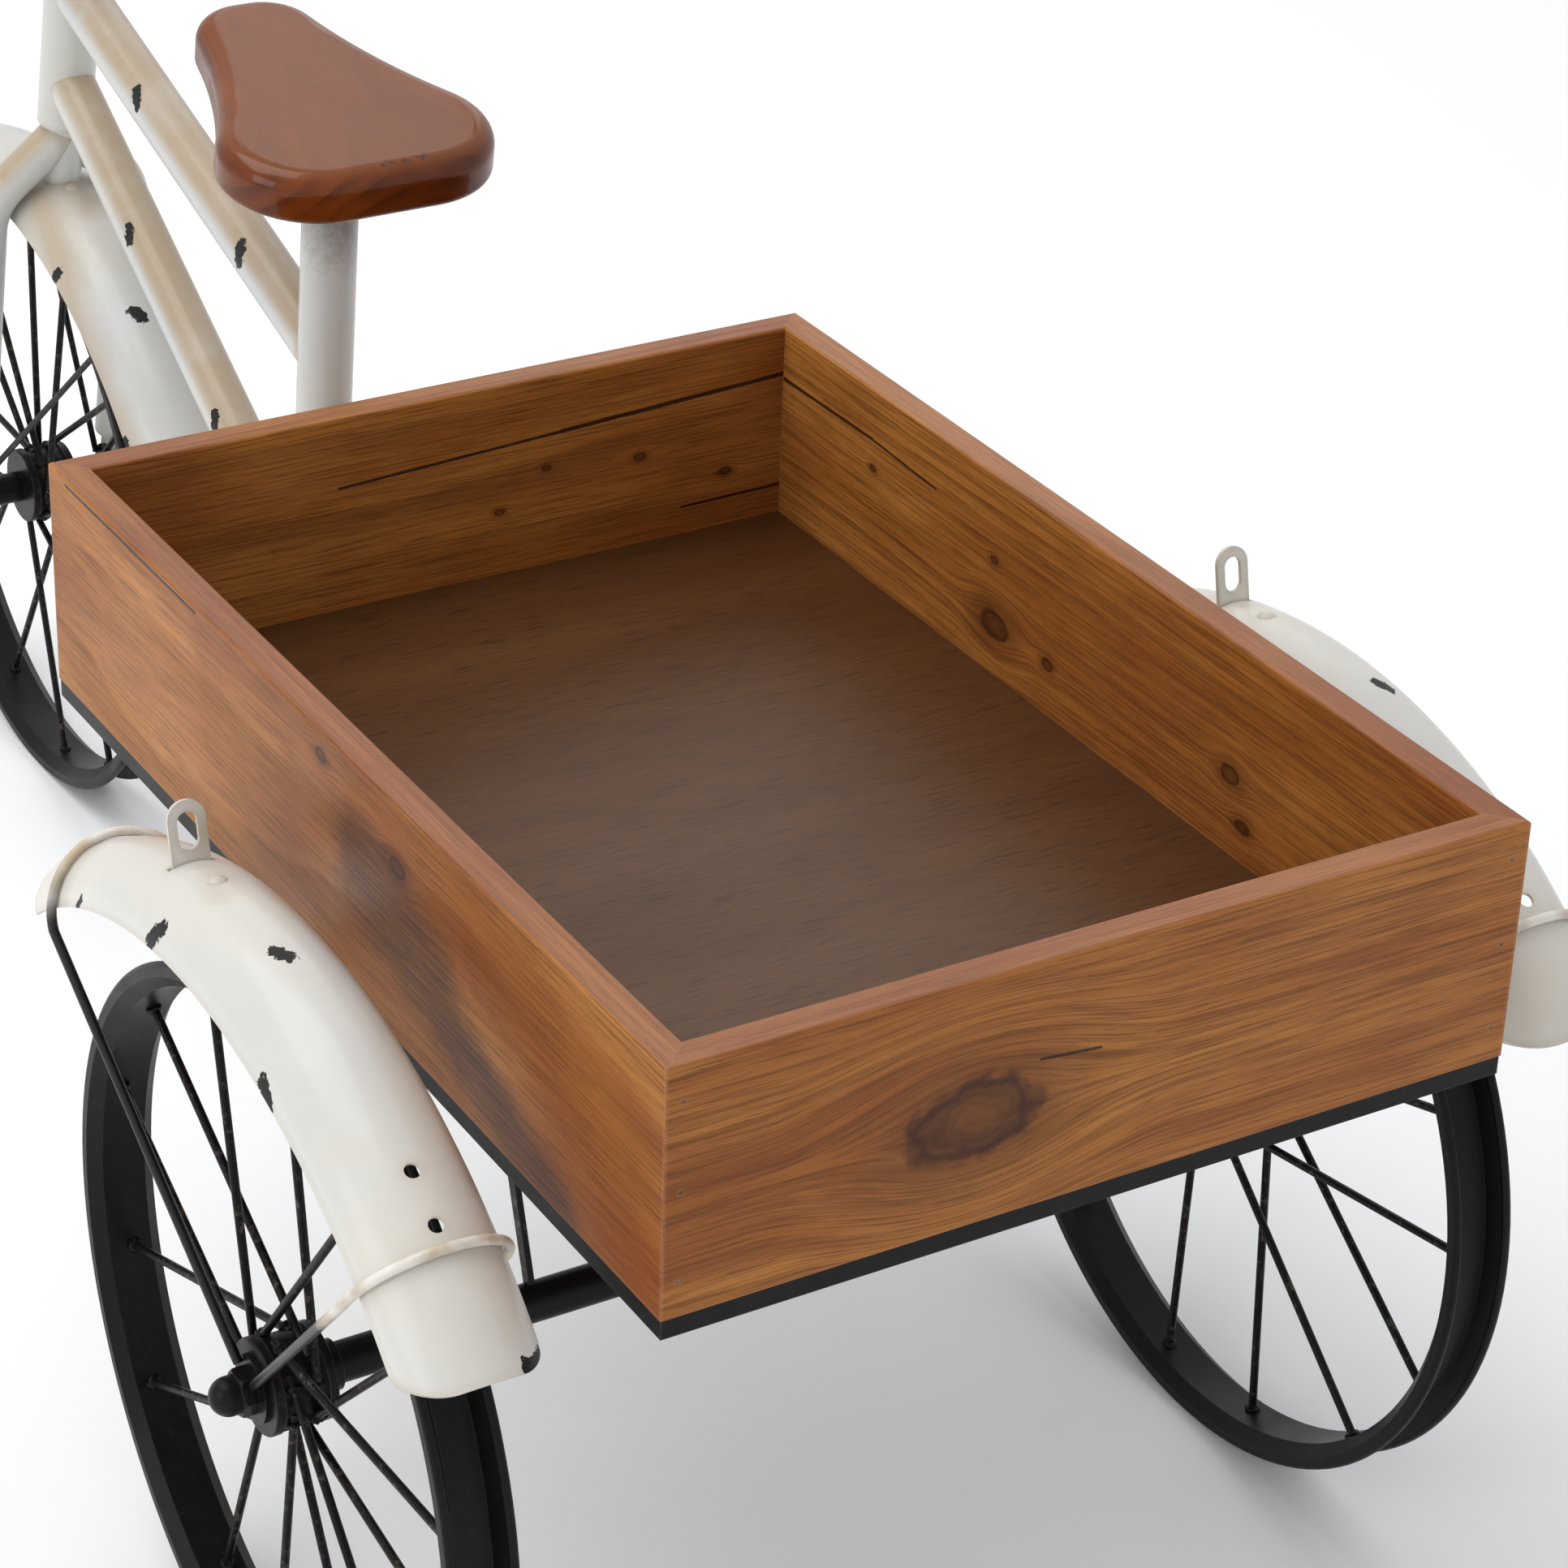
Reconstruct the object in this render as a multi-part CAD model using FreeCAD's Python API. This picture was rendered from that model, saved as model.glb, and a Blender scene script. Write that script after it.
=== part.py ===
"""Tricycle plant stand: a wooden planter tray on three bare rims.

Millimetres. +Z is up and z = 0 is the ground. The front wheel is towards -X, the planter towards
+X, and y = 0 is the plane that the object is the same on both sides of. The origin lies on the
ground, under the middle of the whole length. A side of -1 is the left (-Y), +1 the right.
Angles on wheels and fenders start at +X and grow towards +Z.
"""
import FreeCAD, Part
import os
from math import sin, cos, tan, asin, atan2, sqrt, radians, degrees, hypot

V = FreeCAD.Vector

# Wheels
wheel_radius = 186.3
wheelbase = 877.4
rim_width = 31.8
rim_bead_width = 4.6
rim_well_depth = 9.6
rim_well_width = 16.0
rim_wall_thickness = 2.2
rim_side_height = 6.4
hub_flange_radius = 22.0
hub_barrel_radius = 20.5
hub_length = 29.3
hub_flange_thickness = 4.5
hub_edge_radius = 1.0
spoke_radius = 2.0
spoke_pairs = 7
spoke_pair_angle = 21.4
spoke_tangent_radius = 19.5
spoke_hub_offset = 5.5
spoke_rim_offset = 2.0
left_spoke_phase = 8.1
right_spoke_phase = 24.2
front_spoke_phase = 40.3

# Fits between turning pieces, and the distance under which two places count as one
running_clearance = 0.05
axial_clearance = 0.3
same_place_distance = 0.002

# Rear axle
axle_tube_radius = 9.2
axle_tube_wall = 2.2
axle_collar_length = 7.0
axle_plug_length = 20.0
stub_radius = 6.0
collar_radius = 11.5
washer_radius = 15.5
washer_thickness = 2.0
nut_across_flats = 19.0
nut_thickness = 7.0
nut_chamfer_width = 1.1
nut_dome_radius = 8.8
nut_dome_length = 12.0
stub_end_gap = 5.0

# Planter box
box_length = 582.0
box_width = 400.0
box_height = 112.0
board_thickness = 15.0
board_edge_radius = 1.6
floor_thickness = 11.0
box_ahead_of_axle = 58.4
box_bottom_above_axle = 161.8
nail_radius = 1.1
nail_length = 32.0
nails_per_corner = 3
nail_end_margin = 16.0

# Steel tray frame under the box
rail_depth = 9.0
rail_flange_width = 22.0
rail_wall_thickness = 2.5
rail_inset_distance = 0.5
cross_bar_width = 25.0
cross_bar_thickness = 4.0
front_cross_bar_offset = -49.9
rear_cross_bar_offset = 109.1
tray_screw_radius = 2.0
tray_screw_head_radius = 4.0
tray_screw_head_height = 1.8
tray_screw_depth = 12.0
tray_screws_per_side = 3
tray_screw_end_share = 0.12

# Struts from the axle to the tray, and braces from the seat tube to the tray
strut_width = 6.0
strut_thickness = 3.0
strut_inset_distance = 69.0
brace_radius = 4.5
brace_offset = 62.0
brace_top_height = 399.0
brace_end_above_rail_foot = 3.4

# Frame tubes
head_lean = 14.0
head_tube_radius = 15.5
head_tube_wall = 2.2
head_tube_length = 115.0
head_bearing_length = 12.0
fork_head_gap = 6.5
seat_lean = 6.0
seat_tube_radius = 14.2
top_tube_radius = 14.0
down_tube_radius = 13.2
frame_tube_wall = 1.8
top_tube_above_head_foot_height = 85.0
top_tube_seat_height = 426.0
down_tube_above_head_foot_height = 28.0
shell_ahead_of_axle = 491.4
shell_above_axle = 93.4
shell_radius = 18.0
shell_length = 62.0
shell_wall = 3.0
stay_radius = 8.0
stay_wall = 1.5
stay_shell_offset = 20.0
stay_axle_offset = 62.0

# Saddle: two large rear corners, two nose corners and a hollow flank between them
saddle_ahead_of_axle = 437.4
saddle_centre_height = 549.5
saddle_pitch = 9.0
saddle_thickness = 25.0
saddle_nose_distance = 112.0
saddle_rear_corner_radius = 46.0
saddle_rear_corner_offset = 24.2
saddle_nose_radius = 27.8
saddle_nose_offset = 4.3
saddle_flank_radius = 322.0
saddle_top_edge_radius = 11.0
saddle_bottom_edge_radius = 4.0
saddle_plate_length = 76.0
saddle_plate_width = 52.0
saddle_plate_thickness = 3.0
saddle_plate_corner_radius = 8.0
saddle_screw_radius = 2.2
saddle_screw_head_radius = 4.5
saddle_screw_head_height = 2.2
saddle_screw_depth = 14.0
saddle_screw_margin = 9.0

# Fork and handlebar
steerer_radius = 11.0
steerer_wall = 2.5
steerer_length_above_collar = 104.5
head_collar_radius = 17.0
head_collar_height = 9.0
fork_leg_radius = 11.0
fork_leg_wall = 1.6
fork_leg_offset = 43.2
fork_leg_rise_height = 41.5
fork_shoulder_height = 389.0
fork_shoulder_bend_radius = 40.0
dropout_thickness = 3.0
dropout_radius = 13.0
dropout_length = 56.0
front_collar_radius = 9.0
front_nut_thickness = 7.0
handlebar_radius = 9.5
handlebar_wall = 1.6
bar_centre_half_width = 55.0
bar_rise_foot_offset = 95.0
bar_top_offset = 205.0
bar_rise_height = 108.0
bar_forward_distance = 26.0
bar_grip_offset = 236.0
bar_sweep_length = 168.0
bar_grip_drop_height = 12.0
bar_bend_radius = 34.0
grip_radius = 14.0
grip_length = 108.0
grip_end_wall = 5.0
grip_end_edge_radius = 4.0

# Fenders: one pressing, a curved sheet swept round its own centre
fender_ring_radius = 256.8
fender_section_radius = 32.2
fender_sheet_thickness = 1.5
fender_half_opening_angle = 73.0
fender_box_gap = 30.6
wheel_fender_offset = 12.8
rear_fender_behind_axle = 6.6
rear_fender_below_axle = 52.2
rear_fender_start_angle = 43.1
rear_fender_end_angle = 127.6
front_fender_behind_axle = 17.0
front_fender_below_axle = 72.6
front_fender_start_angle = 34.0
front_fender_end_angle = 128.0
fender_tail_corner_radius = 18.0
fender_nose_corner_radius = 6.0
fender_hole_radius = 3.3
fender_hole_angles = (60.5, 55.8)

# Slotted tab on each rear fender
tab_angle = 102.0
tab_width = 17.0
tab_height = 26.5
tab_thickness = 2.0
tab_slot_width = 9.0
tab_slot_length = 16.5
tab_slot_height = 5.0
tab_slit_width = 21.0
tab_slit_gap = 0.5
tab_foot_angle = 9.2
rivet_angles = (100.1, 96.8)
rivet_radius = 4.5
rivet_height = 2.1
rivet_shank_radius = 2.0
rivet_head_sink_depth = 0.25
front_rivet_distance = 5.5

# Wire stays that hold the rear fenders
wire_radius = 2.2
wire_gap = 0.3
wire_foot_radius = 12.2
rear_wire_angle = 53.7
front_wire_angle = 120.0
wire_tail_length = 9.0
wire_knee_radius = 12.0
front_stay_radius = 1.8
front_stay_angles = (57.0, 108.0)
front_stay_lead = 30.0
front_stay_lip_depth = 3.0

# Places worked out from the sizes above
axle_height = wheel_radius
front_reach = wheelbase + wheel_radius
rear_reach = box_length / 2 - box_ahead_of_axle
rear_axle_x = (front_reach - rear_reach) / 2
front_axle_x = rear_axle_x - wheelbase
box_x = rear_axle_x - box_ahead_of_axle
box_bottom = axle_height + box_bottom_above_axle
box_top = box_bottom + box_height
rail_foot = box_bottom - rail_depth
rim_floor_radius = wheel_radius - rim_well_depth - rim_wall_thickness
fender_half_width = fender_section_radius * sin(radians(fender_half_opening_angle))
rear_fender_offset = box_width / 2 + fender_box_gap + fender_half_width
fork_leg_root_height = fork_shoulder_height + fork_leg_rise_height
head_tube_foot_height = fork_leg_root_height + fork_head_gap
top_tube_head_height = head_tube_foot_height + top_tube_above_head_foot_height
down_tube_head_height = head_tube_foot_height + down_tube_above_head_foot_height
wheel_offset = rear_fender_offset - wheel_fender_offset
strut_offset = box_width / 2 - strut_inset_distance
hub_inner_face = wheel_offset - hub_length / 2
hub_outer_face = wheel_offset + hub_length / 2
washer_inner_face = hub_outer_face + axial_clearance
washer_outer_face = washer_inner_face + washer_thickness
axle_tube_end = hub_inner_face - axial_clearance - axle_collar_length
fender_crown_radius = fender_ring_radius + fender_section_radius
saddle_plate_under = -saddle_thickness / 2 - saddle_plate_thickness
REAR_AXLE = V(rear_axle_x, 0, axle_height)
FRONT_AXLE = V(front_axle_x, 0, axle_height)
REAR_FENDER = REAR_AXLE + V(rear_fender_behind_axle, 0, -rear_fender_below_axle)
FRONT_FENDER = FRONT_AXLE + V(front_fender_behind_axle, 0, -front_fender_below_axle)
HEAD_UP = V(sin(radians(head_lean)), 0, cos(radians(head_lean)))
SEAT_UP = V(sin(radians(seat_lean)), 0, cos(radians(seat_lean)))
SHELL = REAR_AXLE + V(-shell_ahead_of_axle, 0, shell_above_axle)
HEAD_FOOT = FRONT_AXLE + HEAD_UP * ((head_tube_foot_height - axle_height) / HEAD_UP.z)
COLLAR_FOOT = HEAD_FOOT + HEAD_UP * (head_tube_length + axial_clearance)
COLLAR_TOP = COLLAR_FOOT + HEAD_UP * head_collar_height
STEERER_TOP = COLLAR_TOP + HEAD_UP * steerer_length_above_collar
SIDES = {"left": -1, "right": 1}

os.makedirs("parts", exist_ok=True)


def whole(*shapes):
    """The solids of one or more shapes as one flat piece."""
    solids = [solid for shape in shapes for solid in shape.Solids]
    return solids[0] if len(solids) == 1 else Part.makeCompound(solids)


def joined(first, *others):
    """Shapes that touch, fused into one."""
    return whole(first.fuse(list(others)).removeSplitter())


def save(name, shape):
    """Write one node and print its size."""
    shape = whole(shape)
    shape.exportStep("parts/" + name + ".step")
    box = shape.BoundBox
    print(f"{name:18s} solids {len(shape.Solids)} valid {shape.isValid()} volume {shape.Volume:10.0f}"
          f"  x {box.XMin:8.1f} {box.XMax:8.1f}  y {box.YMin:7.1f} {box.YMax:7.1f}"
          f"  z {box.ZMin:6.1f} {box.ZMax:6.1f}")


def rod(start, end, radius):
    """A round bar from one point to another."""
    run = end - start
    return Part.makeCylinder(radius, run.Length, start, run)


def longer(start, end, extra):
    """The same two ends, each moved out by extra."""
    step = (end - start).normalize() * extra
    return start - step, end + step


def tube(start, end, radius, wall):
    """A hollow round bar."""
    return rod(start, end, radius).cut(rod(start, end, radius - wall))


def head_point(height):
    """The steering axis at a height."""
    return FRONT_AXLE + HEAD_UP * ((height - axle_height) / HEAD_UP.z)


def seat_point(height):
    """The seat tube's axis at a height."""
    return SHELL + SEAT_UP * ((height - SHELL.z) / SEAT_UP.z)


def bent_path(points, bends):
    """Straight runs joined by tangent arcs, one bend radius for each inner point."""
    edges = []
    last = points[0]
    for before, corner, after, bend in zip(points, points[1:], points[2:], bends):
        back = (before - corner).normalize()
        ahead = (after - corner).normalize()
        half_turn = back.getAngle(ahead) / 2
        leg = bend / tan(half_turn)
        middle = (back + ahead).normalize() * (bend / sin(half_turn) - bend)
        start, end = corner + back * leg, corner + ahead * leg
        if (start - last).Length > same_place_distance:
            edges.append(Part.LineSegment(last, start).toShape())
        edges.append(Part.Arc(start, corner + middle, end).toShape())
        last = end
    edges.append(Part.LineSegment(last, points[-1]).toShape())
    return Part.Wire(edges)


def bent_rod(points, bends, radius):
    """A round bar bent along a path."""
    run = points[1] - points[0]
    ring = Part.Wire([Part.makeCircle(radius, points[0], run)])
    return bent_path(points, bends).makePipeShell([ring], True, True)


def bent_tube(points, bends, radius, wall):
    """A hollow bar bent along a path."""
    return bent_rod(points, bends, radius).cut(bent_rod(points, bends, radius - wall))


def turned(profile, centre, axis):
    """A closed outline turned full circle, given as (along the axis, radius) points."""
    points = [centre + axis * along + V(radius, 0, 0) for along, radius in profile]
    face = Part.Face(Part.makePolygon(points + points[:1]))
    return face.revolve(centre, axis, 360)


def polar(centre, angle, radius, y):
    """A point at an angle and radius about a line along Y."""
    turn = radians(angle)
    return V(centre.x + radius * cos(turn), y, centre.z + radius * sin(turn))


def mitred_board(half_length, half_width, thickness, low, high, along_x, side):
    """One of the four mitred sides of a rectangle, outside on the given side."""
    outer = [(-half_length, half_width), (half_length, half_width)]
    inner = [(half_length - thickness, half_width - thickness),
             (thickness - half_length, half_width - thickness)]
    if along_x:
        plan = [V(box_x + u, side * w, low) for u, w in outer + inner]
    else:
        plan = [V(box_x + side * w, u, low) for u, w in outer + inner]
    return Part.Face(Part.makePolygon(plan + plan[:1])).extrude(V(0, 0, high - low))


def level_edges(solid, height, reach):
    """Edges that lie at a height and are longer than reach."""
    return [e for e in solid.Edges if abs(e.BoundBox.ZMin - height) < same_place_distance
            and abs(e.BoundBox.ZMax - height) < same_place_distance and e.Length > reach]


def upright_edges(solid):
    """Edges that stand on end."""
    return [e for e in solid.Edges if e.BoundBox.XLength + e.BoundBox.YLength < same_place_distance]


# Planter box: four mitred boards, a plywood floor and pin nails through the corners
SIDE_BOARDS = {"left": (True, -1), "right": (True, 1), "front": (False, -1), "rear": (False, 1)}


def corner_nails():
    """Pin nails driven through the end boards into the side boards."""
    nails = []
    for end in (-1, 1):
        head_x = box_x + end * box_length / 2
        for side in (-1, 1):
            y = side * (box_width - board_thickness) / 2
            for place in range(nails_per_corner):
                share = place / (nails_per_corner - 1)
                z = box_bottom + nail_end_margin + share * (box_height - 2 * nail_end_margin)
                nails.append(rod(V(head_x, y, z), V(head_x - end * nail_length, y, z), nail_radius))
    return whole(*nails)


def tray_screw_places():
    """Screw places along the four rails, as plan points."""
    half_x = box_length / 2 - board_thickness / 2
    half_y = box_width / 2 - board_thickness / 2
    places = []
    for place in range(tray_screws_per_side):
        share = tray_screw_end_share + (1 - 2 * tray_screw_end_share) * place / (tray_screws_per_side - 1)
        along = 2 * share - 1
        for side in (-1, 1):
            places.append((box_x + along * half_x, side * half_y))
            places.append((box_x + side * half_x, along * half_y))
    return places


def tray_screws():
    """Domed screws that hold the boards down on the rails."""
    screws = []
    flange_foot = box_bottom - rail_wall_thickness
    for x, y in tray_screw_places():
        shank = rod(V(x, y, flange_foot - tray_screw_head_height), V(x, y, box_bottom + tray_screw_depth),
                    tray_screw_radius)
        head = domed_head(V(x, y, flange_foot), V(0, 0, -1), tray_screw_head_radius, tray_screw_head_height)
        screws.append(joined(head, shank))
    return whole(*screws)


def domed_head(seat, out, radius, height):
    """The cap of a ball, standing on a seat."""
    ball_radius = (radius * radius + height * height) / (2 * height)
    ball = Part.makeSphere(ball_radius, seat + out * (height - ball_radius))
    return whole(ball.common(Part.makeCylinder(radius * 2, height, seat, out)))


def build_box():
    nails = corner_nails()
    screws = tray_screws()
    for name, (along_x, side) in SIDE_BOARDS.items():
        half_length = (box_length if along_x else box_width) / 2
        half_width = (box_width if along_x else box_length) / 2
        board = mitred_board(half_length, half_width, board_thickness, box_bottom, box_top, along_x, side)
        board = board.makeFillet(board_edge_radius, level_edges(board, box_top, 2 * board_thickness))
        save("board_" + name, board.cut(nails).cut(screws))
    inside_length = box_length - 2 * board_thickness
    inside_width = box_width - 2 * board_thickness
    corner = V(box_x - inside_length / 2, -inside_width / 2, box_bottom)
    save("floor_panel", Part.makeBox(inside_length, inside_width, floor_thickness, corner))
    save("corner_nails", nails)
    save("tray_screws", screws)


def build_tray_frame():
    """Four mitred angle rails and two flat cross bars."""
    screws = tray_screws()
    half_x = box_length / 2 - rail_inset_distance
    half_y = box_width / 2 - rail_inset_distance
    for name, (along_x, side) in SIDE_BOARDS.items():
        half_length, half_width = (half_x, half_y) if along_x else (half_y, half_x)
        skirt = mitred_board(half_length, half_width, rail_wall_thickness, rail_foot, box_bottom,
                             along_x, side)
        flange = mitred_board(half_length, half_width, rail_flange_width, box_bottom - rail_wall_thickness,
                              box_bottom, along_x, side)
        save("rail_" + name, skirt.fuse(flange).cut(screws))
    reach = half_y - rail_flange_width
    for name, offset in (("front", front_cross_bar_offset), ("rear", rear_cross_bar_offset)):
        x = rear_axle_x + offset - cross_bar_width / 2
        corner = V(x, -reach, box_bottom - cross_bar_thickness)
        save("cross_bar_" + name, Part.makeBox(cross_bar_width, 2 * reach, cross_bar_thickness, corner))


def build_axle():
    """The axle tube, its two stub ends, the struts up to the tray, and the nuts."""
    tube_solid = rod(V(rear_axle_x, -axle_tube_end, axle_height), V(rear_axle_x, axle_tube_end, axle_height),
                     axle_tube_radius)
    bore = axle_tube_radius - axle_tube_wall
    save("axle_tube", tube(V(rear_axle_x, -axle_tube_end, axle_height),
                           V(rear_axle_x, axle_tube_end, axle_height), axle_tube_radius, axle_tube_wall))
    shaft_end = washer_outer_face + nut_thickness + nut_dome_length - stub_end_gap
    for name, side in SIDES.items():
        axis = V(0, side, 0)
        stub = turned([(axle_tube_end - axle_plug_length, 0), (axle_tube_end - axle_plug_length, bore),
                       (axle_tube_end, bore), (axle_tube_end, collar_radius),
                       (hub_inner_face - axial_clearance, collar_radius),
                       (hub_inner_face - axial_clearance, stub_radius), (shaft_end, stub_radius),
                       (shaft_end, 0)], REAR_AXLE, axis)
        save("stub_axle_" + name, stub)
        washer = turned([(washer_inner_face, stub_radius), (washer_inner_face, washer_radius),
                         (washer_outer_face, washer_radius), (washer_outer_face, stub_radius)],
                        REAR_AXLE, axis)
        save("washer_" + name, washer)
        nut_seat = REAR_AXLE + axis * washer_outer_face
        save("cap_nut_" + name, cap_nut(nut_seat, axis).cut(stub))
        foot = V(rear_axle_x, side * strut_offset, axle_height)
        top = V(rear_axle_x + front_cross_bar_offset, side * strut_offset, box_bottom - cross_bar_thickness)
        save("axle_strut_" + name, flat_strut(foot, top).cut(tube_solid))


def flat_strut(foot, top):
    """A flat bar that leans along X, cut level at its top and run to the middle of the axle."""
    half = strut_width / 2
    plan = [V(foot.x - half, foot.y, foot.z), V(foot.x + half, foot.y, foot.z),
            V(top.x + half, top.y, top.z), V(top.x - half, top.y, top.z)]
    plan = [point - V(0, strut_thickness / 2, 0) for point in plan]
    return Part.Face(Part.makePolygon(plan + plan[:1])).extrude(V(0, strut_thickness, 0))


def hexagon(seat, out, across_flats, thickness):
    """A hexagonal block that stands on a seat, along Y."""
    corner = across_flats / sqrt(3)
    points = [seat + V(corner * cos(radians(60 * k)), 0, corner * sin(radians(60 * k))) for k in range(6)]
    return Part.Face(Part.makePolygon(points + points[:1])).extrude(out * thickness)


def cap_nut(seat, out):
    """A hexagon nut closed by a dome."""
    block = hexagon(seat, out, nut_across_flats, nut_thickness)
    bar_stock = Part.makeCylinder(nut_across_flats / sqrt(3), nut_thickness, seat, out)
    rings = [e for e in bar_stock.Edges if e.Closed]
    bar_stock = bar_stock.makeChamfer(nut_chamfer_width, [max(rings, key=lambda e: e.CenterOfMass.dot(out))])
    straight = nut_dome_length - nut_dome_radius
    neck = rod(seat, seat + out * (nut_thickness + straight), nut_dome_radius)
    dome = Part.makeSphere(nut_dome_radius, seat + out * (nut_thickness + straight))
    return joined(block.common(bar_stock), neck, dome)


def rim(centre):
    """A rolled steel rim: two rounded beads with a well between them."""
    half = rim_width / 2
    bead = rim_bead_width / 2
    well = rim_well_width / 2
    top = wheel_radius - bead
    floor = wheel_radius - rim_well_depth

    def at(along, radius):
        return centre + V(radius, along, 0)

    def arc(a, b, c):
        return Part.Arc(at(*a), at(*b), at(*c)).toShape()

    def line(a, b):
        return Part.LineSegment(at(*a), at(*b)).toShape()

    inner_well = well + rim_wall_thickness
    corners = [(half, top), (half, wheel_radius - rim_side_height), (inner_well, rim_floor_radius),
               (-inner_well, rim_floor_radius), (-half, wheel_radius - rim_side_height), (-half, top)]
    edges = [line(a, b) for a, b in zip(corners, corners[1:])]
    edges.append(arc((-half, top), (bead - half, wheel_radius), (rim_bead_width - half, top)))
    edges.append(line((rim_bead_width - half, top), (-well, floor)))
    edges.append(line((-well, floor), (well, floor)))
    edges.append(line((well, floor), (half - rim_bead_width, top)))
    edges.append(arc((half - rim_bead_width, top), (half - bead, wheel_radius), (half, top)))
    return Part.Face(Part.Wire(edges)).revolve(centre, V(0, 1, 0), 360)


def hub(centre):
    """A flanged barrel with a bore that runs on its axle."""
    half = hub_length / 2
    neck = half - hub_flange_thickness
    bore = stub_radius + running_clearance
    solid = turned([(-half, bore), (-half, hub_flange_radius), (-neck, hub_flange_radius),
                    (-neck, hub_barrel_radius), (neck, hub_barrel_radius), (neck, hub_flange_radius),
                    (half, hub_flange_radius), (half, bore)], centre, V(0, 1, 0))
    rings = [e for e in solid.Edges if e.Closed and e.Curve.Radius > hub_barrel_radius + same_place_distance]
    outer = [e for e in rings if abs(abs(e.Curve.Center.y - centre.y) - half) < same_place_distance]
    return solid.makeFillet(hub_edge_radius, outer)


def spokes(centre, phase, outward, keep_out):
    """Pairs of wires that leave the barrel on opposite tangents and meet the rim side by side."""
    wires = []
    slant = asin(spoke_tangent_radius / rim_floor_radius)
    for pair in range(spoke_pairs):
        for hand in (1, -1):
            angle = phase + 360 * pair / spoke_pairs - (spoke_pair_angle if hand < 0 else 0)
            root = polar(centre, angle + hand * (90 - degrees(slant)), spoke_tangent_radius,
                         centre.y + hand * outward * spoke_hub_offset)
            tip = polar(centre, angle, rim_floor_radius + rim_wall_thickness / 2,
                        centre.y + hand * outward * spoke_rim_offset)
            wire = rod(root, tip, spoke_radius)
            for solid in keep_out:
                wire = wire.cut(solid)
            wires.append(max(wire.Solids, key=lambda s: s.Volume))
    return whole(*wires)


def build_wheel(name, centre, phase, outward):
    hoop = rim(centre)
    barrel = hub(centre)
    save(name + "_rim", hoop)
    save(name + "_hub", barrel)
    save(name + "_spokes", spokes(centre, phase, outward, [hoop, barrel]))


def fender_face(centre, y, outer, inner, lip):
    """A fender's section at angle zero: an arc of sheet, or the filled segment where inner is 0."""
    def at(radius, turn):
        return V(centre.x + fender_ring_radius + radius * cos(radians(turn)), y + radius * sin(radians(turn)),
                 centre.z)

    edges = [Part.Arc(at(outer, -lip), at(outer, 0), at(outer, lip)).toShape()]
    if inner:
        edges.append(Part.LineSegment(at(outer, lip), at(inner, lip)).toShape())
        edges.append(Part.Arc(at(inner, lip), at(inner, 0), at(inner, -lip)).toShape())
        edges.append(Part.LineSegment(at(inner, -lip), at(outer, -lip)).toShape())
    else:
        edges.append(Part.LineSegment(at(outer, lip), at(outer, -lip)).toShape())
    return Part.Face(Part.Wire(edges))


def swept(face, centre, start, end):
    """A section turned about the fender's centre from one angle to another."""
    face.rotate(centre, V(0, -1, 0), start)
    return face.revolve(centre, V(0, -1, 0), end - start)


def end_corner(centre, y, angle, inwards, corner, side):
    """The piece cut away to round one corner of a fender's end."""
    block = Part.makeBox(2 * fender_section_radius, 2 * corner, corner,
                         V(0, -corner, min(0, inwards * corner)))
    block = block.cut(Part.makeCylinder(corner, 2 * fender_section_radius, V(0, -corner, inwards * corner),
                                        V(1, 0, 0)))
    if side < 0:
        block = block.mirror(V(0, 0, 0), V(0, 1, 0))
    block.translate(V(centre.x + fender_ring_radius - fender_section_radius, y + side * fender_half_width,
                      centre.z))
    block.rotate(centre, V(0, -1, 0), angle)
    return block


def fender(centre, y, start, end, tail_corner, nose_corner):
    """The curved sheet, with rounded corners at both ends."""
    section = fender_face(centre, y, fender_section_radius, fender_section_radius - fender_sheet_thickness,
                          fender_half_opening_angle)
    sheet = swept(section, centre, start, end)
    for side in (-1, 1):
        sheet = sheet.cut(end_corner(centre, y, start, 1, tail_corner, side))
        sheet = sheet.cut(end_corner(centre, y, end, -1, nose_corner, side))
    return sheet


def crown_rod(centre, y, angle, low, high, radius):
    """A pin that stands square to the crown."""
    return rod(polar(centre, angle, fender_crown_radius + low, y),
               polar(centre, angle, fender_crown_radius + high, y), radius)


def crown_block(centre, y, angle, low, high, width, thickness):
    """A flat plate that stands square to the crown, across the fender."""
    block = Part.makeBox(high - low, width, thickness, V(fender_crown_radius + low, -width / 2,
                                                         -thickness / 2))
    block.translate(centre + V(0, y, 0))
    block.rotate(centre, V(0, -1, 0), angle)
    return block


def tab(centre, y):
    """The slotted tab: an upright through the sheet and a foot that hugs its underside."""
    half = tab_width / 2
    under = fender_section_radius - fender_sheet_thickness
    upright = crown_block(centre, y, tab_angle, -fender_sheet_thickness - tab_thickness, tab_height - half,
                          tab_width, tab_thickness)
    across = V(-sin(radians(tab_angle)), 0, cos(radians(tab_angle)))

    def disc(rise, radius, depth):
        middle = polar(centre, tab_angle, fender_crown_radius + rise, y)
        return Part.makeCylinder(radius, depth, middle - across * (depth / 2), across)

    slot_low = tab_slot_height + tab_slot_width / 2
    slot_high = tab_slot_height + tab_slot_length - tab_slot_width / 2
    slot = crown_block(centre, y, tab_angle, slot_low, slot_high, tab_slot_width, 2 * tab_thickness)
    slot = slot.fuse([disc(slot_low, tab_slot_width / 2, 2 * tab_thickness),
                      disc(slot_high, tab_slot_width / 2, 2 * tab_thickness)])
    upright = upright.fuse(disc(tab_height - half, half, tab_thickness)).cut(slot)
    foot = fender_face(centre, y, under, under - tab_thickness, degrees(asin(half / under)))
    return joined(upright, swept(foot, centre, tab_angle - tab_foot_angle, tab_angle))


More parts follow.
